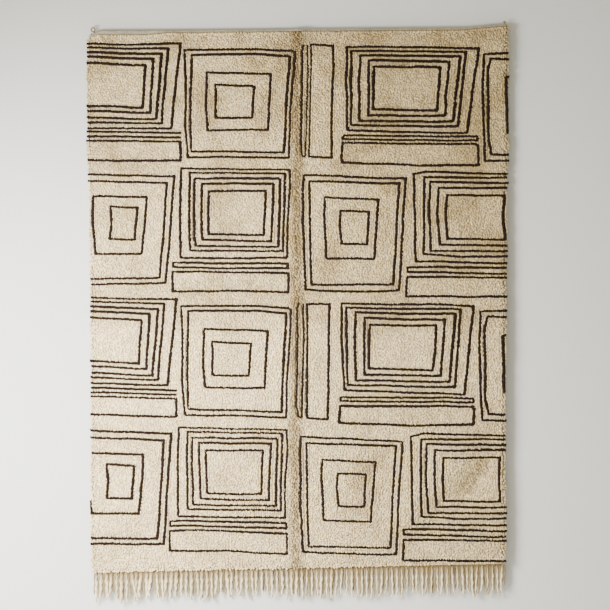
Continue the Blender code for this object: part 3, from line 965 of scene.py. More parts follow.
def woven_ground(colours):
    """Weft-faced wool ground: ribs of weft across the heading, darker in the grooves between them as
    painted shade, and on the back the rows of knot backs, each a small pillow, with darker wefts
    between the rows."""
    material, tree, shader = new_material("Wool plain weave ground")
    place = add_node(tree, "ShaderNodeTexCoord")
    parts = add_node(tree, "ShaderNodeSeparateXYZ", links={0: place.outputs["Object"]})
    # The rows wander by up to 10 mm, over about 70 mm.
    wander = add_node(
        tree, "ShaderNodeTexNoise", None, {"Scale": 14.0, "Detail": 2.0},
        {"Vector": place.outputs["Object"]},
    )
    drift = add_math(tree, "MULTIPLY", wander.outputs["Fac"], 0.010)
    height = add_math(tree, "ADD", parts.outputs["Z"], drift)
    across = add_math(tree, "ADD", parts.outputs["X"], drift)
    # Rows of knots every 9 mm, knots every 6.5 mm along a row, and the heading's weft ribs
    # 2.5 mm apart.
    bulges = []
    for position, spacing in ((height, 0.0090), (across, 0.0065), (height, 0.0025)):
        wave = add_math(tree, "MULTIPLY", position, math.pi / spacing)
        bulges.append(add_math(tree, "ABSOLUTE", add_math(tree, "SINE", wave)))
    row_bulge, knot_bulge, rib_bulge = bulges
    pillow = add_math(tree, "MULTIPLY", row_bulge, knot_bulge)
    in_heading = add_node(tree, "ShaderNodeAttribute", {"attribute_name": "heading"})
    weave = add_node(
        tree, "ShaderNodeMix", {"data_type": "FLOAT"},
        links={0: in_heading.outputs["Fac"], 2: pillow, 3: rib_bulge},
    )
    dark = add_node(
        tree, "ShaderNodeMix", {"data_type": "RGBA"},
        {6: colour_of(colours.ground_dark), 7: colour_of(colours.heading_shade)},
        {0: in_heading.outputs["Fac"]},
    )
    pale = add_node(
        tree, "ShaderNodeMix", {"data_type": "RGBA"},
        {6: colour_of(colours.ground), 7: colour_of(colours.heading)},
        {0: in_heading.outputs["Fac"]},
    )
    yarn = add_node(
        tree, "ShaderNodeMix", {"data_type": "RGBA"},
        links={0: weave.outputs[0], 6: dark.outputs[2], 7: pale.outputs[2]},
    )
    # Patches about 110 mm across.
    clouds = add_node(
        tree, "ShaderNodeTexNoise", None, {"Scale": 9.0, "Detail": 4.0, "Roughness": 0.6},
        {"Vector": place.outputs["Object"]},
    )
    patchy = add_node(
        tree, "ShaderNodeMapRange", None,
        {"From Min": 0.3, "From Max": 0.7, "To Min": 0.86, "To Max": 1.10},
        {"Value": clouds.outputs["Fac"]},
    )
    # Flecks of darker wool in the yarn, about 9 mm apart.
    flecks = add_node(
        tree, "ShaderNodeTexNoise", None, {"Scale": 110.0, "Detail": 2.0},
        {"Vector": place.outputs["Object"]},
    )
    flecked = add_node(
        tree, "ShaderNodeMapRange", None,
        {"From Min": 0.36, "From Max": 0.60, "To Min": 0.74, "To Max": 1.04},
        {"Value": flecks.outputs["Fac"]},
    )
    uneven = add_math(tree, "MULTIPLY", patchy.outputs[0], flecked.outputs[0])
    tinted = add_node(
        tree, "ShaderNodeVectorMath", {"operation": "SCALE"},
        links={0: yarn.outputs[2], "Scale": uneven},
    )
    tree.links.new(tinted.outputs["Vector"], shader.inputs["Base Color"])
    bump = add_node(
        tree, "ShaderNodeBump", None, {"Strength": 0.8, "Distance": 0.0020},
        {"Height": weave.outputs[0]},
    )
    tree.links.new(bump.outputs["Normal"], shader.inputs["Normal"])
    shader.inputs["Roughness"].default_value = 0.95
    shader.inputs["Specular IOR Level"].default_value = 0.12
    return material


def twisted_yarn(name, tip, root, lock_size):
    """Twisted natural yarn: matt, darker where it starts, which is painted shade where it goes into the
    cloth, streaked and fuzzed by locks of fibre, whose size is drawn coarse enough to show."""
    material, tree, shader = new_material(name)
    rise = add_node(tree, "ShaderNodeAttribute", {"attribute_name": "rise"})
    place = add_node(tree, "ShaderNodeTexCoord")
    length_wise = add_node(
        tree, "ShaderNodeMapping", None, {"Scale": (1.0, 1.0, 0.35)},
        {"Vector": place.outputs["Object"]},
    )
    yarn = add_node(
        tree, "ShaderNodeMix", {"data_type": "RGBA"}, {6: root, 7: tip}, {0: rise.outputs["Fac"]}
    )
    locks = add_node(
        tree, "ShaderNodeTexNoise", None,
        {"Scale": 1.0 / lock_size, "Detail": 3.0, "Roughness": 0.65},
        {"Vector": length_wise.outputs["Vector"]},
    )
    streaks = add_node(
        tree, "ShaderNodeMapRange", None,
        {"From Min": 0.3, "From Max": 0.7, "To Min": 0.84, "To Max": 1.08},
        {"Value": locks.outputs["Fac"]},
    )
    tinted = add_node(
        tree, "ShaderNodeVectorMath", {"operation": "SCALE"},
        links={0: yarn.outputs[2], "Scale": streaks.outputs[0]},
    )
    tree.links.new(tinted.outputs["Vector"], shader.inputs["Base Color"])
    bump = add_node(
        tree, "ShaderNodeBump", None, {"Strength": 0.5, "Distance": 0.0008},
        {"Height": locks.outputs["Fac"]},
    )
    tree.links.new(bump.outputs["Normal"], shader.inputs["Normal"])
    shader.inputs["Roughness"].default_value = 0.92
    shader.inputs["Specular IOR Level"].default_value = 0.15
    shader.inputs["Sheen Weight"].default_value = 0.06
    return material


def plain_paint(name, colour, see_through_back=False):
    """Matt studio paint; a backdrop lets the view through from behind."""
    material, tree, shader = new_material(name)
    place = add_node(tree, "ShaderNodeTexCoord")
    grain = add_node(
        tree, "ShaderNodeTexNoise", None, {"Scale": 60.0, "Detail": 2.0},
        {"Vector": place.outputs["Object"]},
    )
    bump = add_node(
        tree, "ShaderNodeBump", None, {"Strength": 0.05, "Distance": 0.001},
        {"Height": grain.outputs["Fac"]},
    )
    tree.links.new(bump.outputs["Normal"], shader.inputs["Normal"])
    shader.inputs["Base Color"].default_value = colour
    shader.inputs["Roughness"].default_value = 0.9
    if see_through_back:
        side = add_node(tree, "ShaderNodeNewGeometry")
        clear = add_node(tree, "ShaderNodeBsdfTransparent")
        both = add_node(
            tree, "ShaderNodeMixShader",
            links={0: side.outputs["Backfacing"], 1: shader.outputs[0], 2: clear.outputs[0]},
        )
        tree.links.new(both.outputs[0], tree.nodes["Material Output"].inputs["Surface"])
    return material


# ---- the dark lines ----------------------------------------------------------------------

def block_lines(block):
    """The lines of one block as bends in metres, x and depth, with its rings closed."""
    lines = []
    for kind in ("rings", "open"):
        for flat in block.get(kind, ()):
            bends = [(x / 1000.0, depth / 1000.0) for x, depth in zip(flat[::2], flat[1::2])]
            lines.append(bends + bends[:1] if kind == "rings" else bends)
    return lines


def repeated(point, box, pulled):
    """The place of a chart point in the second repeat, moved along with its block's corners."""
    x, depth = point
    left, right, top, foot = box
    across, down = (x - left) / (right - left), (depth - top) / (foot - top)
    shares = (
        (1.0 - across) * (1.0 - down), across * (1.0 - down), across * down, (1.0 - across) * down,
    )
    aside = 0.001 * sum(share * corner[0] for share, corner in zip(shares, pulled))
    lower = 0.001 * sum(share * corner[1] for share, corner in zip(shares, pulled))
    from_x, from_depth = REPEAT_FROM
    drop = REPEAT_DROP + REPEAT_DROP_ACROSS * (x - from_x) + REPEAT_DROP_DOWN * (depth - from_depth)
    return x + REPEAT_SHIFT + aside, depth + drop + lower


def chart_lines():
    """Every dark line of the rug: its bends in metres and how boldly it is knotted."""
    first, again = [], []
    for block in CHART:
        lines = block_lines(block)
        bends = [bend for line in lines for bend in line]
        xs, depths = [x for x, _depth in bends], [depth for _x, depth in bends]
        box = (min(xs), max(xs), min(depths), max(depths))
        bold, bold_again = block["bold"]
        for line in lines:
            moved = [repeated(bend, box, block["pulled"]) for bend in line]
            first.append((line, 0.01 * bold))
            again.append((moved, 0.01 * bold_again))
    return first + again


def walk(corners, pitch):
    """Even steps along a line, with the direction of travel at each."""
    steps, carry, gone = [], 0.0, 0.0
    for (x0, d0), (x1, d1) in zip(corners, corners[1:]):
        length = math.hypot(x1 - x0, d1 - d0)
        if length < 1e-6:
            continue
        ux, ud = (x1 - x0) / length, (d1 - d0) / length
        at = carry
        while at < length:
            steps.append((x0 + ux * at, d0 + ud * at, ux, ud, gone + at))
            at += pitch
        carry = at - length
        gone += length
    return steps


def strayed(step, number, aside=0.0):
    """Where one step of a line really lies, or a place aside from it: the whole cloth wanders a
    little, so that neighbours stray together, and each line wavers a little on its own."""
    x, depth, ux, ud, gone = step
    wander_x = WANDER * soft_noise(x / WANDER_LENGTH, depth / WANDER_LENGTH, 6)
    wander_depth = WANDER * soft_noise(x / WANDER_LENGTH, depth / WANDER_LENGTH, 7)
    waver = WAVER * soft_noise(gone / WAVER_LENGTH, 0.0, number)
    waver += KNOT_WAVER * soft_noise(gone / KNOT_WAVER_LENGTH, 6.0, number)
    aside += waver
    return x + wander_x - ud * aside, -(depth + wander_depth + ux * aside)


def line_places(pitch):
    """Knots of the dark lines: x, z, the step along the line, the line's number, whether it is
    upright there, and how boldly it is knotted."""
    places = []
    for number, (bends, bold) in enumerate(chart_lines()):
        for count, step in enumerate(walk(bends, pitch)):
            x, z = strayed(step, number)
            left, right = side_edges(z)
            if left < x < right:
                upright = abs(step[3]) > abs(step[2])
                places.append((x, z, count, number, upright, bold))
    return places


def room_beside(places):
    """Distance from each knot of the dark lines to the nearest knot that runs beside it."""
    tree = KDTree(len(places))
    for index, place in enumerate(places):
        tree.insert((place[0], 0.0, place[1]), index)
    tree.balance()
    rooms = []
    for x, z, count, number, _upright, _bold in places:
        room = ROOM_REACH
        for _near, index, distance in tree.find_range((x, 0.0, z), room):
            other_count, other_number = places[index][2:4]
            if other_number != number or abs(other_count - count) > SAME_STROKE:
                room = min(room, distance)
        rooms.append(room)
    return rooms


# ---- the pile ----------------------------------------------------------------------------

def parting(x, z):
    """How much a place belongs to the old fold down the middle, 0 to 1."""
    ragged = PARTING_RAGGED * soft_noise(x / 0.02, z / 0.012, 9)
    ragged += PARTING_DRIFT * soft_noise(0.0, z / 0.07, 10)
    return math.exp(-((x - fold_x(z) - PARTING_ASIDE + ragged) / FOLD_WAVE) ** 2)


def pile_way(x, z, draw, droop):
    """Direction in which a tuft stands: out of the cloth, combed down, ruffled along the old fold and
    along strokes aslant, and pushed outwards along both sides."""
    left, right = side_edges(z)
    sideways = -LEAN_LEFT + LEAN_CLOUDS * soft_noise(x / 0.06, z / 0.10, 1)
    sideways += LEAN_EACH * either_way(draw)
    down = droop * (1.0 + DROOP_CLOUDS * soft_noise(x / 0.05, z / 0.07, 2))
    down += DROOP_EACH * either_way(draw)
    # The old fold and the strokes aslant ruffle the pile; the darkening they bring is painted shade.
    share = min(parting(x, z) + stroke_sum(RUFFLED_SHADE_STROKES, x, z), 1.0)
    aside = x - fold_x(z) - PARTING_ASIDE
    ruffled = PARTED_LEAN * math.tanh(aside / PARTED_STEP)
    ruffled += PARTED_CLOUDS * soft_noise(x / 0.02, z / 0.03, 11)
    sideways += share * (ruffled + PARTED_EACH * either_way(draw))
    sideways -= LEFT_PUSH * (1.0 - smooth_step(x - left, 0.0, SIDE_WAVE))
    sideways += RIGHT_PUSH * (1.0 - smooth_step(right - x, 0.0, SIDE_WAVE))
    way = face_normal(x, z) + Vector((sideways, 0.0, -down))
    return way.normalized(), share


def tuft(x, z, radius, length, tint, draw, droop):
    """One tuft: its root is set back up the lean, so that its belly is seen at x and z."""
    way, share = pile_way(x, z, draw, droop)
    reach = BELLY * length
    root_x = x - reach * 0.5 * way.x
    root_z = z - reach * way.z
    left, right = side_edges(root_z)
    root_x = min(max(root_x, left + EDGE_MARGIN), right - EDGE_MARGIN)
    root_z = min(max(root_z, bottom_z(root_x) + END_MARGIN), top_z(root_x) - pile_start(root_x))
    root_y = hang(root_x, root_z) - HEADING + SUNK
    # Tufts along the fold and the strokes are darker and more aged: partly wear, partly painted shade.
    worn_and_shaded = share * (WORN_LEAST + WORN_MORE * draw.random())
    faded = smooth_step(-z, *AGE_AND_SHADE_FADE_DEPTH)
    slim = 1.0 - WORN_SLIM * share
    return {
        "at": (root_x, root_y, root_z),
        "way": way,
        "size": (radius * slim, radius * slim, length),
        "tint": tint * (1.0 + WORN_SPREAD * worn_and_shaded * either_way(draw) - WORN_AND_FOLD_SHADE * share),
        "age": worn_and_shaded * (1.0 - AGE_AND_SHADE_FADE * faded),
    }


def border_seeds(sizes):
    """Places for cream tufts right beside every dark line, on both of its sides."""
    seeds = []
    for number, (bends, _bold) in enumerate(chart_lines()):
        for step in walk(bends, sizes.border_pitch):
            for side in (-1.0, 1.0):
                seeds.append(strayed(step, number, side * sizes.line_clearance))
    return seeds


def field_seeds(sizes, draw):
    """Places all over the pile, far closer than tufts stand, in mixed order, so that keeping
    those with room around them leaves no bare patch and no rows."""
    seeds = []
    z = TOP_EDGE[-1][1]
    while z > BOTTOM_LEFT_Z - END_ROOM:
        left, right = side_edges(z)
        x = left
        while x < right:
            seeds.append((
                x + 0.5 * sizes.seed_pitch * either_way(draw),
                z + 0.5 * sizes.seed_pitch * either_way(draw),
            ))
            x += sizes.seed_pitch
        z -= sizes.seed_pitch
    draw.shuffle(seeds)
    return seeds


def cream_places(sizes, dark):
    """Places of the cream tufts and how far each is from a dark line: a row beside every line,
    then the open field, none closer to each other than the pile allows."""
    draw = random.Random(SEED + 20)
    tree = KDTree(len(dark))
    for index, place in enumerate(dark):
        tree.insert((place[0], 0.0, place[1]), index)
    tree.balance()
    clear, cell = sizes.line_clearance, sizes.cream_spacing
    taken = {}
    places = []
    for x, z in border_seeds(sizes) + field_seeds(sizes, draw):
        near, _index, distance = tree.find((x, 0.0, z))
        if 1e-5 < distance < clear:
            push = clear / distance
            x, z = near.x + (x - near.x) * push, near.z + (z - near.z) * push
            distance = tree.find((x, 0.0, z))[2]
        if distance < CROWDED * clear:
            continue
        left, right = side_edges(z)
        lowest = bottom_z(x) + PILE_END + PILE_END_RISE * smooth_step(x, *PILE_END_X)
        in_cloth = lowest < z < top_z(x) - pile_start(x)
        if not in_cloth or not left < x < right:
            continue
        key = (math.floor(x / cell), math.floor(z / cell))
        close = [
            other
            for kx in (-1, 0, 1)
            for kz in (-1, 0, 1)
            for other in taken.get((key[0] + kx, key[1] + kz), ())
        ]
        if any(math.hypot(x - ox, z - oz) < cell for ox, oz in close):
            continue
        taken.setdefault(key, []).append((x, z))
        places.append((x, z, distance))
    return places


def pile_shape(name, sides=6):
    """A cut tuft: drawn in at its knot, fullest past the middle, with a soft end."""
    return knot_shape(name, ((0.62, 1.0),), 1.0, sides, sway=0.25, pointed=True)


def grow_knots(name, knots, shape, material, seed, **inputs):
    """Grow one piece of knots and give every copy its own place in the bake map."""
    thing = grow(
        name, point_mesh(name + "_points", knots), knots_on_points(),
        {"Shape": shape, "Seed": seed, "Material": material, **inputs},
    )
    spread_cells(thing.data, loop_count(shape))
    return thing


def in_bands(knots, count):
    """Split knots from top to bottom into bands with about as many each."""
    ordered = sorted(knots, key=lambda knot: -knot["at"][2])
    size = math.ceil(len(ordered) / count)
    return [ordered[i:i + size] for i in range(0, len(ordered), size)]


# ---- sheets ------------------------------------------------------------------------------

def close_sheet(work, back, front, rows, columns, rim=None):
    """Fill two grids of corners, a back and a front, into one closed sheet. A rim, if there is
    one, runs round between them."""
    for r in range(rows):
        for c in range(columns):
            a, b, d, e = (r, c), (r, c + 1), (r + 1, c + 1), (r + 1, c)
            work.faces.new((front[a], front[b], front[d], front[e]))
            work.faces.new((back[a], back[e], back[d], back[b]))
    border = [(0, c) for c in range(columns)]
    border += [(r, columns) for r in range(rows)]
    border += [(rows, c) for c in range(columns, 0, -1)]
    border += [(r, 0) for r in range(rows, 0, -1)]
    rings = [back, rim, front] if rim else [back, front]
    for here, after in zip(border, border[1:] + border[:1]):
        for low, high in zip(rings, rings[1:]):
            work.faces.new((low[here], low[after], high[after], high[here]))


def bed_mesh(sizes):
    """The mass of fibre below the tips: a closed sheet on the ground's face, thin at its edges
    and along the old fold."""
    columns = round(FLAT_WIDTH / sizes.bed_grid)
    rows = round(FLAT_LENGTH / sizes.bed_grid)
    work = bmesh.new()
    marks = {key: work.verts.layers.float.new(key) for key in ("rise", "tint", "age")}
    back, front = {}, {}
    for r in range(rows + 1):
        for c in range(columns + 1):
            x, z = cloth_point(c / columns, r / rows, sizes.selvedge_inset)
            z = min(z, top_z(x) - pile_start(x) - BED_BELOW)
            share = parting(x, z)
            on_edge = c in (0, columns) or r in (0, rows)
            height = sizes.bed_height * (BED_EDGE if on_edge else 1.0) * (1.0 - 0.5 * share)
            height += BED_UNEVEN * soft_noise(x / 0.03, z / 0.03, 12)
            y = hang(x, z) - HEADING
            back[r, c] = work.verts.new((x, y + SUNK, z))
            front[r, c] = work.verts.new((x, y - max(height, BED_LEAST), z))
            for vert in (back[r, c], front[r, c]):
                vert[marks["rise"]] = 0.5
                vert[marks["tint"]] = BED_TINT
                vert[marks["age"]] = BED_AGE_AND_SHADE * share
    close_sheet(work, back, front, rows, columns)
    return closed_mesh("pile_bed", work)


def ground_mesh(sizes):
    """A thin closed sheet on the folds of the solid, as thick as the heading, rounded on top."""
    columns = round(FLAT_WIDTH / sizes.ground_grid)
    rows = round(FLAT_LENGTH / sizes.ground_grid)
    length = -0.5 * (BOTTOM_LEFT_Z + BOTTOM_RIGHT_Z)
    # The top edge, the foot of its roll, the heading's end and the plain ground's start.
    first_rows = (0.0, 0.004, HEADING_HEIGHT, HEADING_HEIGHT + 0.002)
    shares = [below / length for below in first_rows]
    shares += [shares[-1] + (1.0 - shares[-1]) * i / rows for i in range(1, rows + 1)]
    last = len(shares) - 1
    inset = sizes.selvedge_inset
    work = bmesh.new()
    marks = work.verts.layers.float.new("heading")
    back, front, rim = {}, {}, {}
    for r, down in enumerate(shares):
        for c in range(columns + 1):
            x, z = cloth_point(c / columns, down, inset)
            if r == last:
                z += END_SHORT
            depth = hang(x, z)
            uneven = GROUND_UNEVEN * soft_noise(x / 0.02, z / 0.02, 5)
            heading_mark = 1.0 if r <= 2 else 0.0
            back[r, c] = work.verts.new((x, depth, z))
            front[r, c] = work.verts.new((x, depth - HEADING + uneven, z))
            on_side, on_end = c in (0, columns), r in (0, last)
            made = [back[r, c], front[r, c]]
            if on_side or on_end:
                out_x = (-SELVEDGE_ROUND if c == 0 else SELVEDGE_ROUND) if on_side else 0.0
                out_z = (HEADING_ROLL if r == 0 else -END_ROUND) if on_end else 0.0
                rim[r, c] = work.verts.new((x + out_x, depth - 0.5 * HEADING, z + out_z))
                made.append(rim[r, c])
            for vert in made:
                vert[marks] = heading_mark
    close_sheet(work, back, front, last, columns, rim)
    return closed_mesh("woven_ground", work)


# ---- fringe and yarns --------------------------------------------------------------------

def lobed_section(name, lobes, depth, points):
    """A closed outline of unit radius with one lobe for each ply of a yarn."""
    mesh = bpy.data.meshes.new(name)
    places = []
    for k in range(points):
        turn = math.tau * k / points
        radius = 1.0 - depth * (0.5 - 0.5 * math.cos(lobes * turn))
        places.append((radius * math.cos(turn), radius * math.sin(turn), 0.0))
    mesh.from_pydata(places, [(k, (k + 1) % points) for k in range(points)], [])
    return add_piece(name, mesh)


def line_mesh(name, lines):
    """Polylines with a thickness and a rise at each point. A line is a list of
    (x, y, z, radius, rise)."""
    mesh = bpy.data.meshes.new(name)
    points, edges = [], []
    for line in lines:
        start = len(points)
        points += line
        edges += [(start + i, start + i + 1) for i in range(len(line) - 1)]
    mesh.from_pydata([point[:3] for point in points], edges, [])
    for key, column in (("thickness", 3), ("rise", 4)):
        values = mesh.attributes.new(key, "FLOAT", "POINT")
        values.data.foreach_set("value", np.array([p[column] for p in points], np.float32))
    return mesh


def strand_root(i):
    """Where one strand of the fringe leaves the strip."""
    x = FRINGE_LEFT + 0.5 * STRAND_BOX + i * STRAND_PITCH
    z = bottom_z(x) - GAP - STRIP_HEIGHT
    return x, hang(x, z) - STRIP_BACK - 0.5 * STRIP_DEPTH, z


def strand_line(i, draw, curl, sizes):
    """Centre line of one strand, and its girth. The draws from draw are the solid's own, so that
    the strand lies on the solid's, apart from where it strays, hooks or is gathered."""
    centre, root_y, root_z = strand_root(i)
    share = i / (STRAND_COUNT - 1)
    drop = FRINGE_DROP_LEFT + share * (FRINGE_DROP_RIGHT - FRINGE_DROP_LEFT)
    drift = STRAND_DRIFT * either_way(draw)
    bow = STRAND_BOW * either_way(draw)
    swing = STRAND_SWING * 0.5 * (1.0 + draw.random()) * (-1.0 if i % 2 else 1.0)
    tip = bottom_z(centre) - drop + STRAND_UNEVEN * either_way(draw) + TIP_RISE * share
    hook = curl.choice((-1.0, 1.0)) * curl.uniform(0.0, TIP_HOOK)
    astray = ASTRAY * soft_noise(i * 0.31, 0.0, 13)
    astray += (ASTRAY - ASTRAY_LESS * share) * either_way(curl)
    drawn = sum(x - centre for x in GATHERED if abs(x - centre) < GATHERED_REACH)
    slender = SLENDER_LEFT - SLENDER_LESS * smooth_step(share, 0.0, 0.9)
    girth = 0.5 * sizes.strand_width * (slender + GIRTH_SPREAD * either_way(curl))
    tanned = min(max(0.5 + 1.1 * soft_noise(i * 0.43, 2.0, 14), 0.0), 1.0)
    tone = 1.0 - (TAN_LEFT - TAN_LESS * share) * tanned
    line = []
    for step in range(sizes.strand_steps + 1):
        s = step / sizes.strand_steps
        x = centre + (drift + astray + GATHERED_LEAN * drawn) * s ** 1.5
        x += bow * math.sin(math.pi * s) + STRAND_WAVE * math.sin(3.0 * math.tau * s + 2.4 * i)
        x += hook * max(0.0, (s - HOOK_FROM) / (1.0 - HOOK_FROM)) ** 2
        y = root_y + swing * smooth_step(s, 0.0, 1.0)
        z = root_z + TUCKED + (tip - root_z - TUCKED) * s
        fat = 1.0 + STRAND_FAT * soft_noise(s * 5.0, i * 1.7, 8)
        radius = girth * fat * (1.0 - STRAND_TAPER * smooth_step(s, 0.3, 1.0))
        # Darker near the root: painted shadow under the pile's edge; the tone is the strand's own tan.
        line.append((x, y, z, radius, tone * smooth_step(s, -0.05, 0.45)))
    return line, girth


def wisp_line(strand, girth, curl):
    """A frayed wisp that leaves a strand near its tip."""
    base, end = strand[-1 - curl.randrange(1, 4)], strand[-1]
    out = end[0] - base[0] + curl.uniform(-WISP_OUT, WISP_OUT)
    fall = base[2] - end[2] + curl.uniform(*WISP_BELOW)
    forward = curl.uniform(-WISP_BEND, WISP_BEND)
    bend = curl.uniform(-WISP_BEND, WISP_BEND)
    return [
        (
            base[0] + out * s + bend * math.sin(math.pi * s),
            base[1] + forward * s,
            base[2] - fall * s,
            WISP_GIRTH * girth * (1.0 - WISP_TAPER * s),
            0.9,
        )
        for s in (0.0, 0.25, 0.5, 0.75, 1.0)
    ]


def thread_line(i, tip, curl):
    """A thin loose thread beside one strand, whose tip's height is given. Its tan, darker towards its
    root, is partly painted shade between the strands.
    """
    centre, root_y, root_z = strand_root(i)
    start, out = (curl.uniform(-far, far) * STRAND_PITCH for far in THREAD_ASIDE)
    bend = curl.uniform(-THREAD_BEND, THREAD_BEND)
    long = curl.uniform(*THREAD_LONG) * (root_z - tip)
    pale = curl.uniform(0.0, 1.0) * (THREAD_PALE - THREAD_PALE_LESS * i / (STRAND_COUNT - 1))
    line = []
    for step in range(THREAD_STEPS + 1):
        s = step / THREAD_STEPS
        line.append((
            centre + start + out * s + bend * math.sin(math.tau * s),
            root_y + THREAD_BEHIND[0] + THREAD_BEHIND[1] * s,
            root_z + TUCKED - long * s,
            THREAD_GIRTH * (1.0 - THREAD_TAPER * s),
            pale * (0.25 + 0.75 * s),
        ))
    return line


def fringe_strands(sizes):
    """Lines of the strands, of the wisps at their tips and of the loose threads beside them."""
    draw = random.Random(SEED + 1)
    curl = random.Random(SEED + 31)
    strands, wisps, threads = [], [], []
    for i in range(STRAND_COUNT):
        strand, girth = strand_line(i, draw, curl, sizes)
        strands.append(strand)
        wisps += [wisp_line(strand, girth, curl) for _wisp in range(sizes.wisps)]
        threads += [thread_line(i, strand[-1][2], curl) for _thread in range(sizes.threads)]
    return strands, wisps, threads


def strip_knots():
    """Slanted stitches of the twined strip under the pile, in two rows."""
    draw = random.Random(SEED + 40)
    knots = []
    count = int((FRINGE_RIGHT - FRINGE_LEFT) / STRIP_PITCH)
    for row in (0, 1):
        for i in range(count):
            x = FRINGE_LEFT + STRIP_ENDS + (i + 0.5 * row) * STRIP_PITCH
            if x > FRINGE_RIGHT - STRIP_ENDS:
                continue
            z = bottom_z(x) - GAP - STRIP_FIRST_ROW - STRIP_ROW_STEP * row
            y = hang(x, z) - STRIP_BACK - 0.5 * STRIP_DEPTH
            way = Vector((1.0, 0.0, STRIP_SLANT if row else -STRIP_SLANT)).normalized()
            start = Vector((x, y, z)) - way * (0.5 * STRIP_STITCH[2])
            knots.append({
                "at": tuple(start), "way": way, "size": STRIP_STITCH,
                "tint": 0.95 + 0.07 * either_way(draw), "age": 0.0,
            })
    return knots


def heading_knots():
    """Two rows of twining along the heading: one rolls over the top edge, and an uneven one runs where
    the pile starts, darker as painted shade at the joint with the pile."""
    draw = random.Random(SEED + 41)
    knots = []
    for on_top, forward, girth, tint, uneven in HEADING_ROWS:
        x = HEADING_ENDS[0]
        while x < HEADING_ENDS[1]:
            z = top_z(x) - (RIM_TWINE if on_top else pile_start(x) - PILE_TWINE)
            slope = (top_z(x + 0.004) - top_z(x - 0.004)) / 0.008
            y = hang(x, z) - forward
            way = Vector((1.0, 0.0, slope + HEADING_SLANT)).normalized()
            start = Vector((x, y, z)) - way * (0.5 * HEADING_STITCH)
            knots.append({
                "at": tuple(start), "way": way, "size": (girth, girth, HEADING_STITCH),
                "tint": tint + uneven * either_way(draw), "age": 0.0,
            })
            x += HEADING_PITCH
    return knots


def resting_height(centre_x, radius):
    """Height of the middle of a disc that rests on the top edge, a gap above it."""
    reach = radius + GAP
    highest = -math.inf
    for step in range(-20, 21):
        offset = reach * step / 20
        edge = top_z(centre_x + offset) + HEADING_ROLL
        highest = max(highest, edge + math.sqrt(reach ** 2 - offset ** 2))
    return highest


def loop_lines():
    """Two plies wound round each other in a ring at the top left corner, and the two stitches
    that hold it."""
    centre_z = resting_height(LOOP_X, LOOP_RADIUS + LOOP_YARN)
    centre_y = hang(LOOP_X, top_z(LOOP_X)) - 0.5 * HEADING
    lines = []
    for ply in (0.0, math.pi):
        line = []
        for i in range(LOOP_STEPS + 1):
            turn = math.tau * i / LOOP_STEPS
            roll = LOOP_WINDS * turn + ply
            radius = LOOP_RADIUS + 0.5 * LOOP_YARN * math.cos(roll)
            line.append((
                LOOP_X + radius * math.cos(turn),
                centre_y + 0.5 * LOOP_YARN * math.sin(roll),
                centre_z + radius * math.sin(turn),
                0.5 * LOOP_YARN,
                0.8,
            ))
        lines.append(line)
    for side in (-1.0, 1.0):
        x = LOOP_X + side * LOOP_STITCHES * LOOP_RADIUS
        top = top_z(x)
        face = hang(x, top) - HEADING
        lines.append([(x, face - forward, top + up, girth, 0.1) for forward, up, girth in LOOP_STITCH])
    return lines


def knot_lines():
    """An overhand knot drawn tight, as a trefoil, with two short loose ends."""
    centre = Vector((
        KNOT_X, hang(KNOT_X, top_z(KNOT_X)) - 0.5 * HEADING, resting_height(KNOT_X, KNOT_RADIUS)
    ))
    size = KNOT_RADIUS / KNOT_SPAN
    line = []
    for i in range(KNOT_STEPS + 1):
        turn = math.tau * i / KNOT_STEPS
        x = size * (math.sin(turn) + 2.0 * math.sin(2.0 * turn))
        z = size * (math.cos(turn) - 2.0 * math.cos(2.0 * turn))
        y = -size * 1.1 * math.sin(3.0 * turn)
        line.append((centre.x + x, centre.y + y, centre.z + z, KNOT_YARN, 0.7))
    ends = []
    for side, lift in ((-1.0, 0.5), (1.0, 0.8)):
        ends.append([
            (
                centre.x + side * (0.002 + KNOT_END * s),
                centre.y - 0.002 * s,
                centre.z + 0.003 * s * lift + 0.001 * math.sin(3.0 * s),
                0.0013 * (1.0 - 0.5 * s),
                0.9,
            )
            for s in (0.0, 0.25, 0.5, 0.75, 1.0)
        ])
    return [line] + ends


# ---- properties --------------------------------------------------------------------------

def length_property(name, text, default):
    """A length in metres."""
    return FloatProperty(name=name, description=text, default=default, min=0.0, unit="LENGTH",
                         precision=4)


def colour_property(name, text, code):
    """A colour, from an sRGB hex value."""
    return FloatVectorProperty(name=name, description=text, subtype="COLOR", size=3, min=0.0,
                               max=1.0, default=linear(code)[:3])


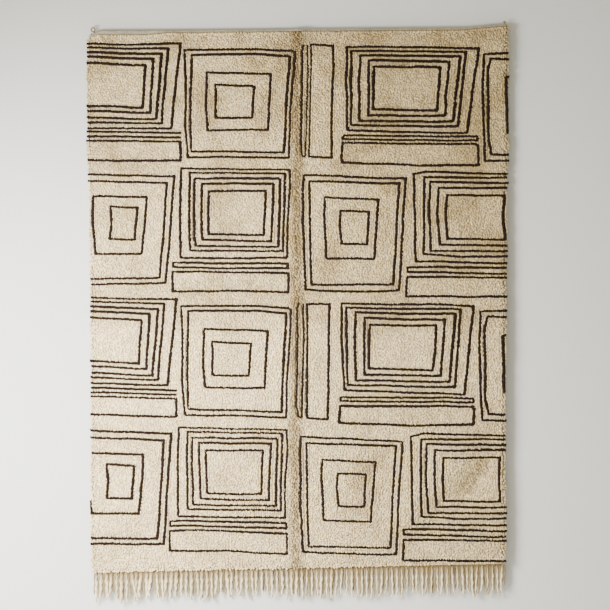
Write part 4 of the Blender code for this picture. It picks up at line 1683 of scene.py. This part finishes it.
class RugSizes(PropertyGroup):
    """Sizes of yarn, knots and pile."""

    pile_length: length_property("Pile length", "Length of a cream tuft from knot to tip", 0.0180)
    tuft_width: length_property("Tuft width", "Fullest width of a cream tuft", 0.0106)
    seed_pitch: length_property("Seed pitch", "Distance between places tried for a tuft", 0.0032)
    cream_spacing: length_property("Cream spacing", "Closest that two cream tufts stand", 0.0057)
    line_clearance: length_property(
        "Line clearance", "Middle of a dark line to the nearest cream tufts", 0.0077)
    border_pitch: length_property("Border pitch", "Cream tufts along a dark line's side", 0.0066)
    tuft_narrow: length_property("Narrow tuft", "Width of the narrowest cream tuft", 0.0074)
    line_pitch: length_property("Line pitch", "Dark tufts along a line", 0.0056)
    level_width: length_property("Level line width", "Fullest width of a level line's tufts", 0.0128)
    upright_width: length_property(
        "Upright line width", "Fullest width of an upright line's tufts", 0.0138)
    line_narrow: length_property("Narrow line width", "Width of a line in a tight place", 0.0094)
    cream_between: length_property("Cream between", "Cream left between lines side by side", 0.0050)
    bed_height: length_property("Bed height", "Thickness of the fibre mass below the tips", 0.0055)
    bed_grid: length_property("Bed grid", "Mesh width of that mass", 0.0170)
    ground_grid: length_property("Ground grid", "Mesh width of the woven ground", 0.0150)
    selvedge_inset: length_property(
        "Selvedge inset", "How far the woven ground ends inside the pile's sides", 0.0040)
    strand_width: length_property("Strand width", "Width of a fringe strand", 0.0102)
    strand_twist: length_property("Strand twist", "Length of one turn of a strand's twist", 0.0240)
    strand_steps: IntProperty(
        name="Strand steps", description="Rings along a strand", default=18, min=4)
    wisps: IntProperty(name="Wisps", description="Frayed wisps at each strand's tip", default=4, min=0)
    # The loose threads are partly real and partly painted shade filling the gaps between strands.
    threads: IntProperty(
        name="Threads", description="Loose thin threads beside each strand", default=8, min=0)
    droop: FloatProperty(
        name="Droop", description="How far the pile is combed down, 1 for half a right angle",
        default=1.00, min=0.0, max=2.0)


class RugColours(PropertyGroup):
    """Colours of wool, ground and cotton."""

    cream_tip: colour_property("Cream tips", "Open ends of the cream wool", "F4DFB0")
    # Darker than the tips: painted shade down between the tufts.
    cream_root_shade: colour_property("Cream roots", "Cream wool down between the tufts", "CCB98C")
    # Duskier patches, and partly dust and partly painted shade towards the top and the right.
    cream_shade: colour_property("Dusky cream", "Duskier patches and the dusty top", "B9A274")
    # Along the old fold: partly aged wool, partly painted shade of the parted pile.
    aged_and_shaded: colour_property("Aged wool", "Wool along the old fold", "8C7040")
    dark_tip: colour_property("Dark tips", "Open ends of the dark wool", "21140A")
    # Darker than the tips: painted shade down between the tufts and at the feet of the knot backs.
    dark_root_shade: colour_property("Dark roots", "Dark wool down between the tufts", "110904")
    # Along the old fold this is partly painted shade of the parted pile; the knot backs use it as their
    # tips' colour.
    dark_aged: colour_property("Aged dark wool", "Dark wool along the old fold", "332214")
    ground: colour_property("Ground", "Backs of the cream knots", "DCCFB4")
    ground_dark: colour_property("Ground grooves", "Wefts between the rows of knots", "B8A688")
    heading: colour_property("Heading", "Flat-woven band along the top", "E6D9BF")
    # Darker between the heading's ribs and at its stitches' feet: painted shade.
    heading_shade: colour_property("Heading grooves", "Between the ribs of that band", "A2926C")
    cotton: colour_property("Cotton", "Fringe strands", "F3E1B7")
    # Both are darker than the cotton: painted shadow under the pile's bottom edge.
    cotton_strip_shade: colour_property("Cotton strip", "Grooves of the twined strip", "6E5A38")
    cotton_root_shade: colour_property("Cotton roots", "Fringe where it leaves the cloth", "8F7649")
    # Tan and darker at their roots: partly the threads' own colour, partly painted shade between the
    # strands.
    thread: colour_property("Loose threads", "Thin wool threads among the strands", "E0D2B0")
    thread_root_shade: colour_property("Thread roots", "Those threads where they start", "7F6C46")
    loop: colour_property("Corner yarn", "Yarn of the loop and the knot", "8E7D5A")
    loop_dark: colour_property("Corner yarn grooves", "Between the plies of that yarn", "52442B")


class StageSettings(PropertyGroup):
    """Floor, backdrop and light."""

    floor: colour_property("Floor", "Studio floor", "DCDBD7")
    backdrop: colour_property("Backdrop", "Studio backdrop", "D8D7CF")
    key_power: FloatProperty(
        name="Key light", description="Power of the soft light on the left", default=203.0, min=0.0,
        unit="POWER")
    rear_power: FloatProperty(
        name="Rear light", description="Power of the light behind the rug", default=120.0, min=0.0,
        unit="POWER")
    fill: FloatProperty(
        name="Fill", description="Strength of the even light from all round", default=0.72, min=0.0)


# ---- operators ---------------------------------------------------------------------------

class RUG_OT_woven_ground(Operator):
    """Weave the ground sheet with its heading and selvedges"""

    bl_idname = "rug.woven_ground"
    bl_label = "Woven ground"

    def execute(self, context):
        material = woven_ground(context.scene.rug_colours)
        sheet = add_piece("woven_ground", ground_mesh(context.scene.rug_sizes), material)
        give_to_rug(sheet, "pile", "rug_cloth")
        return {"FINISHED"}


class RUG_OT_cream_pile(Operator):
    """Knot the cream pile between the dark lines"""

    bl_idname = "rug.cream_pile"
    bl_label = "Cream pile"

    def execute(self, context):
        sizes, colours = context.scene.rug_sizes, context.scene.rug_colours
        # The dust ramp darkens the cream towards the top and the right: partly dust, partly painted
        # shade.
        material = pile_wool(
            "Undyed cream wool pile", colour_of(colours.cream_tip), colour_of(colours.cream_root_shade),
            colour_of(colours.aged_and_shaded), colour_of(colours.cream_shade),
            patch=0.60, dust_and_shade=0.25, sheen=0.05, speckle=0.22,
        )
        give_to_rug(add_piece("pile_bed", bed_mesh(sizes), material), "pile")
        draw = random.Random(SEED + 21)
        knots = []
        for x, z, distance in cream_places(sizes, line_places(0.002)):
            tint = CREAM_TINT + CREAM_SPREAD * either_way(draw)
            tint += CREAM_CLOUDS * soft_noise(x / 0.03, z / 0.05, 3)
            # Tufts along the right side are darker: painted shade where the rim turns away from the
            # light.
            tint *= 1.0 - RIM_SHADE * (1.0 - smooth_step(side_edges(z)[1] - x, *PAINTED_SHADE_RIM))
            length = sizes.pile_length * (1.0 + LENGTH_CLOUDS * soft_noise(x / 0.08, z / 0.08, 4))
            width = min(max(2.0 * distance - LINE_SHARE, sizes.tuft_narrow), sizes.tuft_width)
            knots.append(tuft(x, z, 0.5 * width, length, tint, draw, sizes.droop))
        shape = pile_shape("cream_tuft", sides=5)
        for band, part in enumerate(in_bands(knots, 3)):
            piece = grow_knots(f"cream_pile_{band + 1}", part, shape, material, SEED + band)
            give_to_rug(piece, "pile")
        drop_shape(shape)
        return {"FINISHED"}


class RUG_OT_dark_lines(Operator):
    """Knot the dark lines of the squares and bars"""

    bl_idname = "rug.dark_lines"
    bl_label = "Dark lines"

    def execute(self, context):
        sizes, colours = context.scene.rug_sizes, context.scene.rug_colours
        material = pile_wool(
            "Undyed dark brown wool pile", colour_of(colours.dark_tip), colour_of(colours.dark_root_shade),
            colour_of(colours.dark_aged), colour_of(colours.dark_aged),
            patch=0.20, dust_and_shade=0.0, sheen=0.02, speckle=0.15,
        )
        draw = random.Random(SEED + 22)
        knots = []
        places = line_places(sizes.line_pitch)
        for (x, z, count, _number, upright, bold), room in zip(places, room_beside(places)):
            width = sizes.upright_width if upright else sizes.level_width
            width = bold * min(width, max(room - sizes.cream_between, sizes.line_narrow))
            if upright:
                left, right = side_edges(z)
                whole = smooth_step(min(x - left, right - x), *WORN_EDGE)
                width *= WORN_WIDTH + (1.0 - WORN_WIDTH) * whole
                width *= 1.0 + (UPRIGHT_BEADS if count % 2 else -UPRIGHT_BEADS)
            tint = 1.0 + DARK_SPREAD * either_way(draw)
            length = sizes.pile_length * DARK_LENGTH
            knots.append(tuft(x, z, 0.5 * width, length, tint, draw, sizes.droop))
        shape = pile_shape("dark_tuft")
        for band, part in enumerate(in_bands(knots, 2)):
            piece = grow_knots(f"dark_lines_{band + 1}", part, shape, material, SEED + 5 + band)
            give_to_rug(piece, "pile")
        drop_shape(shape)
        return {"FINISHED"}


class RUG_OT_knot_backs(Operator):
    """Show the dark knots on the back of the ground"""

    bl_idname = "rug.knot_backs"
    bl_label = "Knot backs"

    def execute(self, context):
        colours = context.scene.rug_colours
        material = pile_wool(
            "Dark wool knot backs", colour_of(colours.dark_aged), colour_of(colours.dark_root_shade),
            colour_of(colours.dark_tip), colour_of(colours.dark_tip),
            patch=0.20, dust_and_shade=0.0, sheen=0.02, speckle=0.10,
        )
        draw = random.Random(SEED + 23)
        knots = []
        for x, z, *_rest in line_places(BACK_PITCH):
            if not bottom_z(x) + KNOT_BACK_END < z < top_z(x) - HEADING_HEIGHT:
                continue
            out = -face_normal(x, z)
            at = Vector((x, hang(x, z), z)) - KNOT_BACK_SUNK * out
            knots.append({
                "at": tuple(at), "way": out, "size": KNOT_BACK,
                "tint": 1.0 + 0.2 * either_way(draw), "age": 0.0,
            })
        shape = knot_shape("knot_back", ((0.0, 1.0),), 1.0, 4)
        piece = grow_knots("dark_knot_backs", knots, shape, material, SEED + 9)
        give_to_rug(piece, "pile")
        drop_shape(shape)
        return {"FINISHED"}


class RUG_OT_heading_twining(Operator):
    """Twine the two rows of stitches along the heading"""

    bl_idname = "rug.heading_twining"
    bl_label = "Heading twining"

    def execute(self, context):
        colours = context.scene.rug_colours
        material = twisted_yarn(
            "Twisted heading yarn", colour_of(colours.heading), colour_of(colours.heading_shade),
            lock_size=0.0022,
        )
        shape = knot_shape("stitch", STITCH_RINGS, 1.0, 6)
        piece = grow_knots(
            "heading_twining", heading_knots(), shape, material, SEED + 12, **EVEN_STITCHES
        )
        give_to_rug(piece, "heading_yarn")
        drop_shape(shape)
        return {"FINISHED"}


class RUG_OT_fringe(Operator):
    """Twine the strip along the bottom edge and hang the twisted strands from it"""

    bl_idname = "rug.fringe"
    bl_label = "Fringe"

    def execute(self, context):
        sizes, colours = context.scene.rug_sizes, context.scene.rug_colours
        material = twisted_yarn(
            "Twisted natural cotton", colour_of(colours.cotton), colour_of(colours.cotton_root_shade),
            lock_size=0.0026,
        )
        strands, wisps, threads = fringe_strands(sizes)
        # Two plies look the same after half a turn, so a turn of the section shows as two.
        section = lobed_section("strand_section", lobes=2, depth=0.28, points=10)
        hung = grow(
            "fringe_strands", line_mesh("strand_lines", strands), yarn_on_lines(),
            {"Section": section, "Turns per Metre": 0.5 / sizes.strand_twist, "Material": material},
        )
        drop_shape(section)
        thin = lobed_section("wisp_section", lobes=1, depth=0.0, points=4)
        frayed = grow(
            "fringe_wisps", line_mesh("wisp_lines", wisps), yarn_on_lines(),
            {"Section": thin, "Turns per Metre": 0.0, "Material": material},
        )
        fuzz = twisted_yarn(
            "Loose natural threads", colour_of(colours.thread), colour_of(colours.thread_root_shade),
            lock_size=0.0020,
        )
        loose = grow(
            "fringe_threads", line_mesh("thread_lines", threads), yarn_on_lines(),
            {"Section": thin, "Turns per Metre": 0.0, "Material": fuzz},
        )
        drop_shape(thin)
        # The strip is drawn dark all over: painted shadow under the pile's edge.
        twined = twisted_yarn(
            "Twined cotton strip", colour_of(colours.cotton_root_shade), colour_of(colours.cotton_strip_shade),
            lock_size=0.0020,
        )
        shape = knot_shape("strip_stitch", STITCH_RINGS, 1.0, 6)
        strip = grow_knots("fringe_strip", strip_knots(), shape, twined, SEED + 13, **EVEN_STITCHES)
        drop_shape(shape)
        give_to_rug(hung, "fringe", "bottom_fringe")
        for piece in (frayed, loose, strip):
            give_to_rug(piece, "fringe")
        return {"FINISHED"}


class RUG_OT_corner_yarns(Operator):
    """Wind the loop and tie the knot at the two top corners"""

    bl_idname = "rug.corner_yarns"
    bl_label = "Corner yarns"

    def execute(self, context):
        colours = context.scene.rug_colours
        material = twisted_yarn(
            "Twisted corner yarn", colour_of(colours.loop), colour_of(colours.loop_dark),
            lock_size=0.0015,
        )
        section = lobed_section("yarn_section", lobes=1, depth=0.0, points=7)
        for name, lines, node in (
            ("yarn_loop", loop_lines(), "corner_loop"),
            ("yarn_knot", knot_lines(), "corner_knot"),
        ):
            piece = grow(
                name, line_mesh(name + "_lines", lines), yarn_on_lines(),
                {"Section": section, "Turns per Metre": 0.0, "Material": material},
            )
            give_to_rug(piece, "heading_yarn", node)
        drop_shape(section)
        return {"FINISHED"}


class RUG_OT_cloth_facts(Operator):
    """A step that does nothing"""

    bl_idname = "rug.cloth_facts"
    bl_label = "Cloth facts"

    def execute(self, context):
        return {"FINISHED"}


def add_panel(name, corners, material):
    """One flat four-cornered surface of the stage, its face the way its corners turn."""
    mesh = bpy.data.meshes.new(name)
    mesh.from_pydata(corners, [], [tuple(range(len(corners)))])
    return add_piece(name, mesh, material)


# The stage, in metres: the floor's height, the backdrop's place, and the camera, which looks
# straight on, level with the rug's middle.
FLOOR_Z = -2.45
BACKDROP_Y = 0.020
BACKDROP_TOP = 1.3
CAMERA_PLACE = (0.0256, -5.283, -1.0102)
CAMERA_LENS = 85.0          # millimetres, on a sensor 36 mm wide


def add_light(name, place, target, width, height, power, colour):
    """A soft area light at a place, aimed at a target."""
    lamp = bpy.data.lights.new(name, "AREA")
    lamp.shape = "RECTANGLE"
    lamp.size = width
    lamp.size_y = height
    lamp.energy = power
    lamp.color = colour
    thing = bpy.data.objects.new(name, lamp)
    thing.location = place
    thing.rotation_euler = (Vector(target) - Vector(place)).to_track_quat("-Z", "Y").to_euler()
    thing.visible_camera = False
    bpy.context.scene.collection.objects.link(thing)


class RUG_OT_stage(Operator):
    """Set up the floor, backdrop, lights and camera"""

    bl_idname = "rug.stage"
    bl_label = "Stage"

    def execute(self, context):
        stage = context.scene.rug_stage
        low, near, top = FLOOR_Z, BACKDROP_Y, BACKDROP_TOP
        floor = add_panel(
            "stage_floor", [(-6, -8, low), (6, -8, low), (6, 6, low), (-6, 6, low)],
            plain_paint("Matt floor paint", colour_of(stage.floor)),
        )
        backdrop = add_panel(
            "stage_backdrop", [(-3, near, low), (3, near, low), (3, near, top), (-3, near, top)],
            plain_paint("Matt backdrop paint", colour_of(stage.backdrop), see_through_back=True),
        )
        backdrop.visible_shadow = False

        add_light("Key light", (-1.5, -1.75, -1.0), (0.08, 0.0, -3.2), 1.0, 1.2, stage.key_power,
                  (0.985, 0.99, 1.03))
        add_light("Rear light", (-2.4, 3.2, 0.6), (0.0, 0.0, -1.0), 2.0, 2.0, stage.rear_power,
                  (1.0, 0.99, 0.97))

        world = bpy.data.worlds.new("Pale studio")
        context.scene.world = world
        world.use_nodes = True
        background = world.node_tree.nodes["Background"]
        background.inputs["Color"].default_value = linear("F1ECDC")
        background.inputs["Strength"].default_value = stage.fill

        camera_data = bpy.data.cameras.new("Camera")
        camera_data.sensor_width = 36.0
        camera_data.lens = CAMERA_LENS
        camera = bpy.data.objects.new("Camera", camera_data)
        camera.location = CAMERA_PLACE
        camera.rotation_euler = (math.radians(90.0), 0.0, 0.0)
        context.scene.collection.objects.link(camera)
        context.scene.camera = camera
        return {"FINISHED"}


class RUG_PT_build(Panel):
    """Lists the steps that build the rug"""

    bl_idname = "RUG_PT_build"
    bl_label = "Rug"
    bl_space_type = "VIEW_3D"
    bl_region_type = "UI"
    bl_category = "Rug"

    def draw(self, context):
        for step in STEPS:
            self.layout.operator(step.bl_idname)
        for group in (context.scene.rug_sizes, context.scene.rug_colours, context.scene.rug_stage):
            box = self.layout.box()
            for name in group.__annotations__:
                box.prop(group, name)


STEPS = (
    RUG_OT_woven_ground,
    RUG_OT_cream_pile,
    RUG_OT_dark_lines,
    RUG_OT_knot_backs,
    RUG_OT_heading_twining,
    RUG_OT_fringe,
    RUG_OT_corner_yarns,
    RUG_OT_cloth_facts,
    RUG_OT_stage,
)
GROUPS = (
    ("rug_sizes", RugSizes),
    ("rug_colours", RugColours),
    ("rug_stage", StageSettings),
)


def register():
    """Register the groups, steps and panel, and hang the groups on the scene."""
    for name, group in GROUPS:
        bpy.utils.register_class(group)
        setattr(bpy.types.Scene, name, PointerProperty(type=group))
    for step in STEPS:
        bpy.utils.register_class(step)
    bpy.utils.register_class(RUG_PT_build)


def unregister():
    """Take everything off again."""
    bpy.utils.unregister_class(RUG_PT_build)
    for step in reversed(STEPS):
        bpy.utils.unregister_class(step)
    for name, group in reversed(GROUPS):
        delattr(bpy.types.Scene, name)
        bpy.utils.unregister_class(group)


def main():
    """Build the rug and its stage."""
    register()
    bpy.ops.rug.woven_ground()
    bpy.ops.rug.cream_pile()
    bpy.ops.rug.dark_lines()
    bpy.ops.rug.knot_backs()
    bpy.ops.rug.heading_twining()
    bpy.ops.rug.fringe()
    bpy.ops.rug.corner_yarns()
    bpy.ops.rug.cloth_facts()
    bpy.ops.rug.stage()
    bpy.context.view_layer.update()


if __name__ == "__main__":
    main()
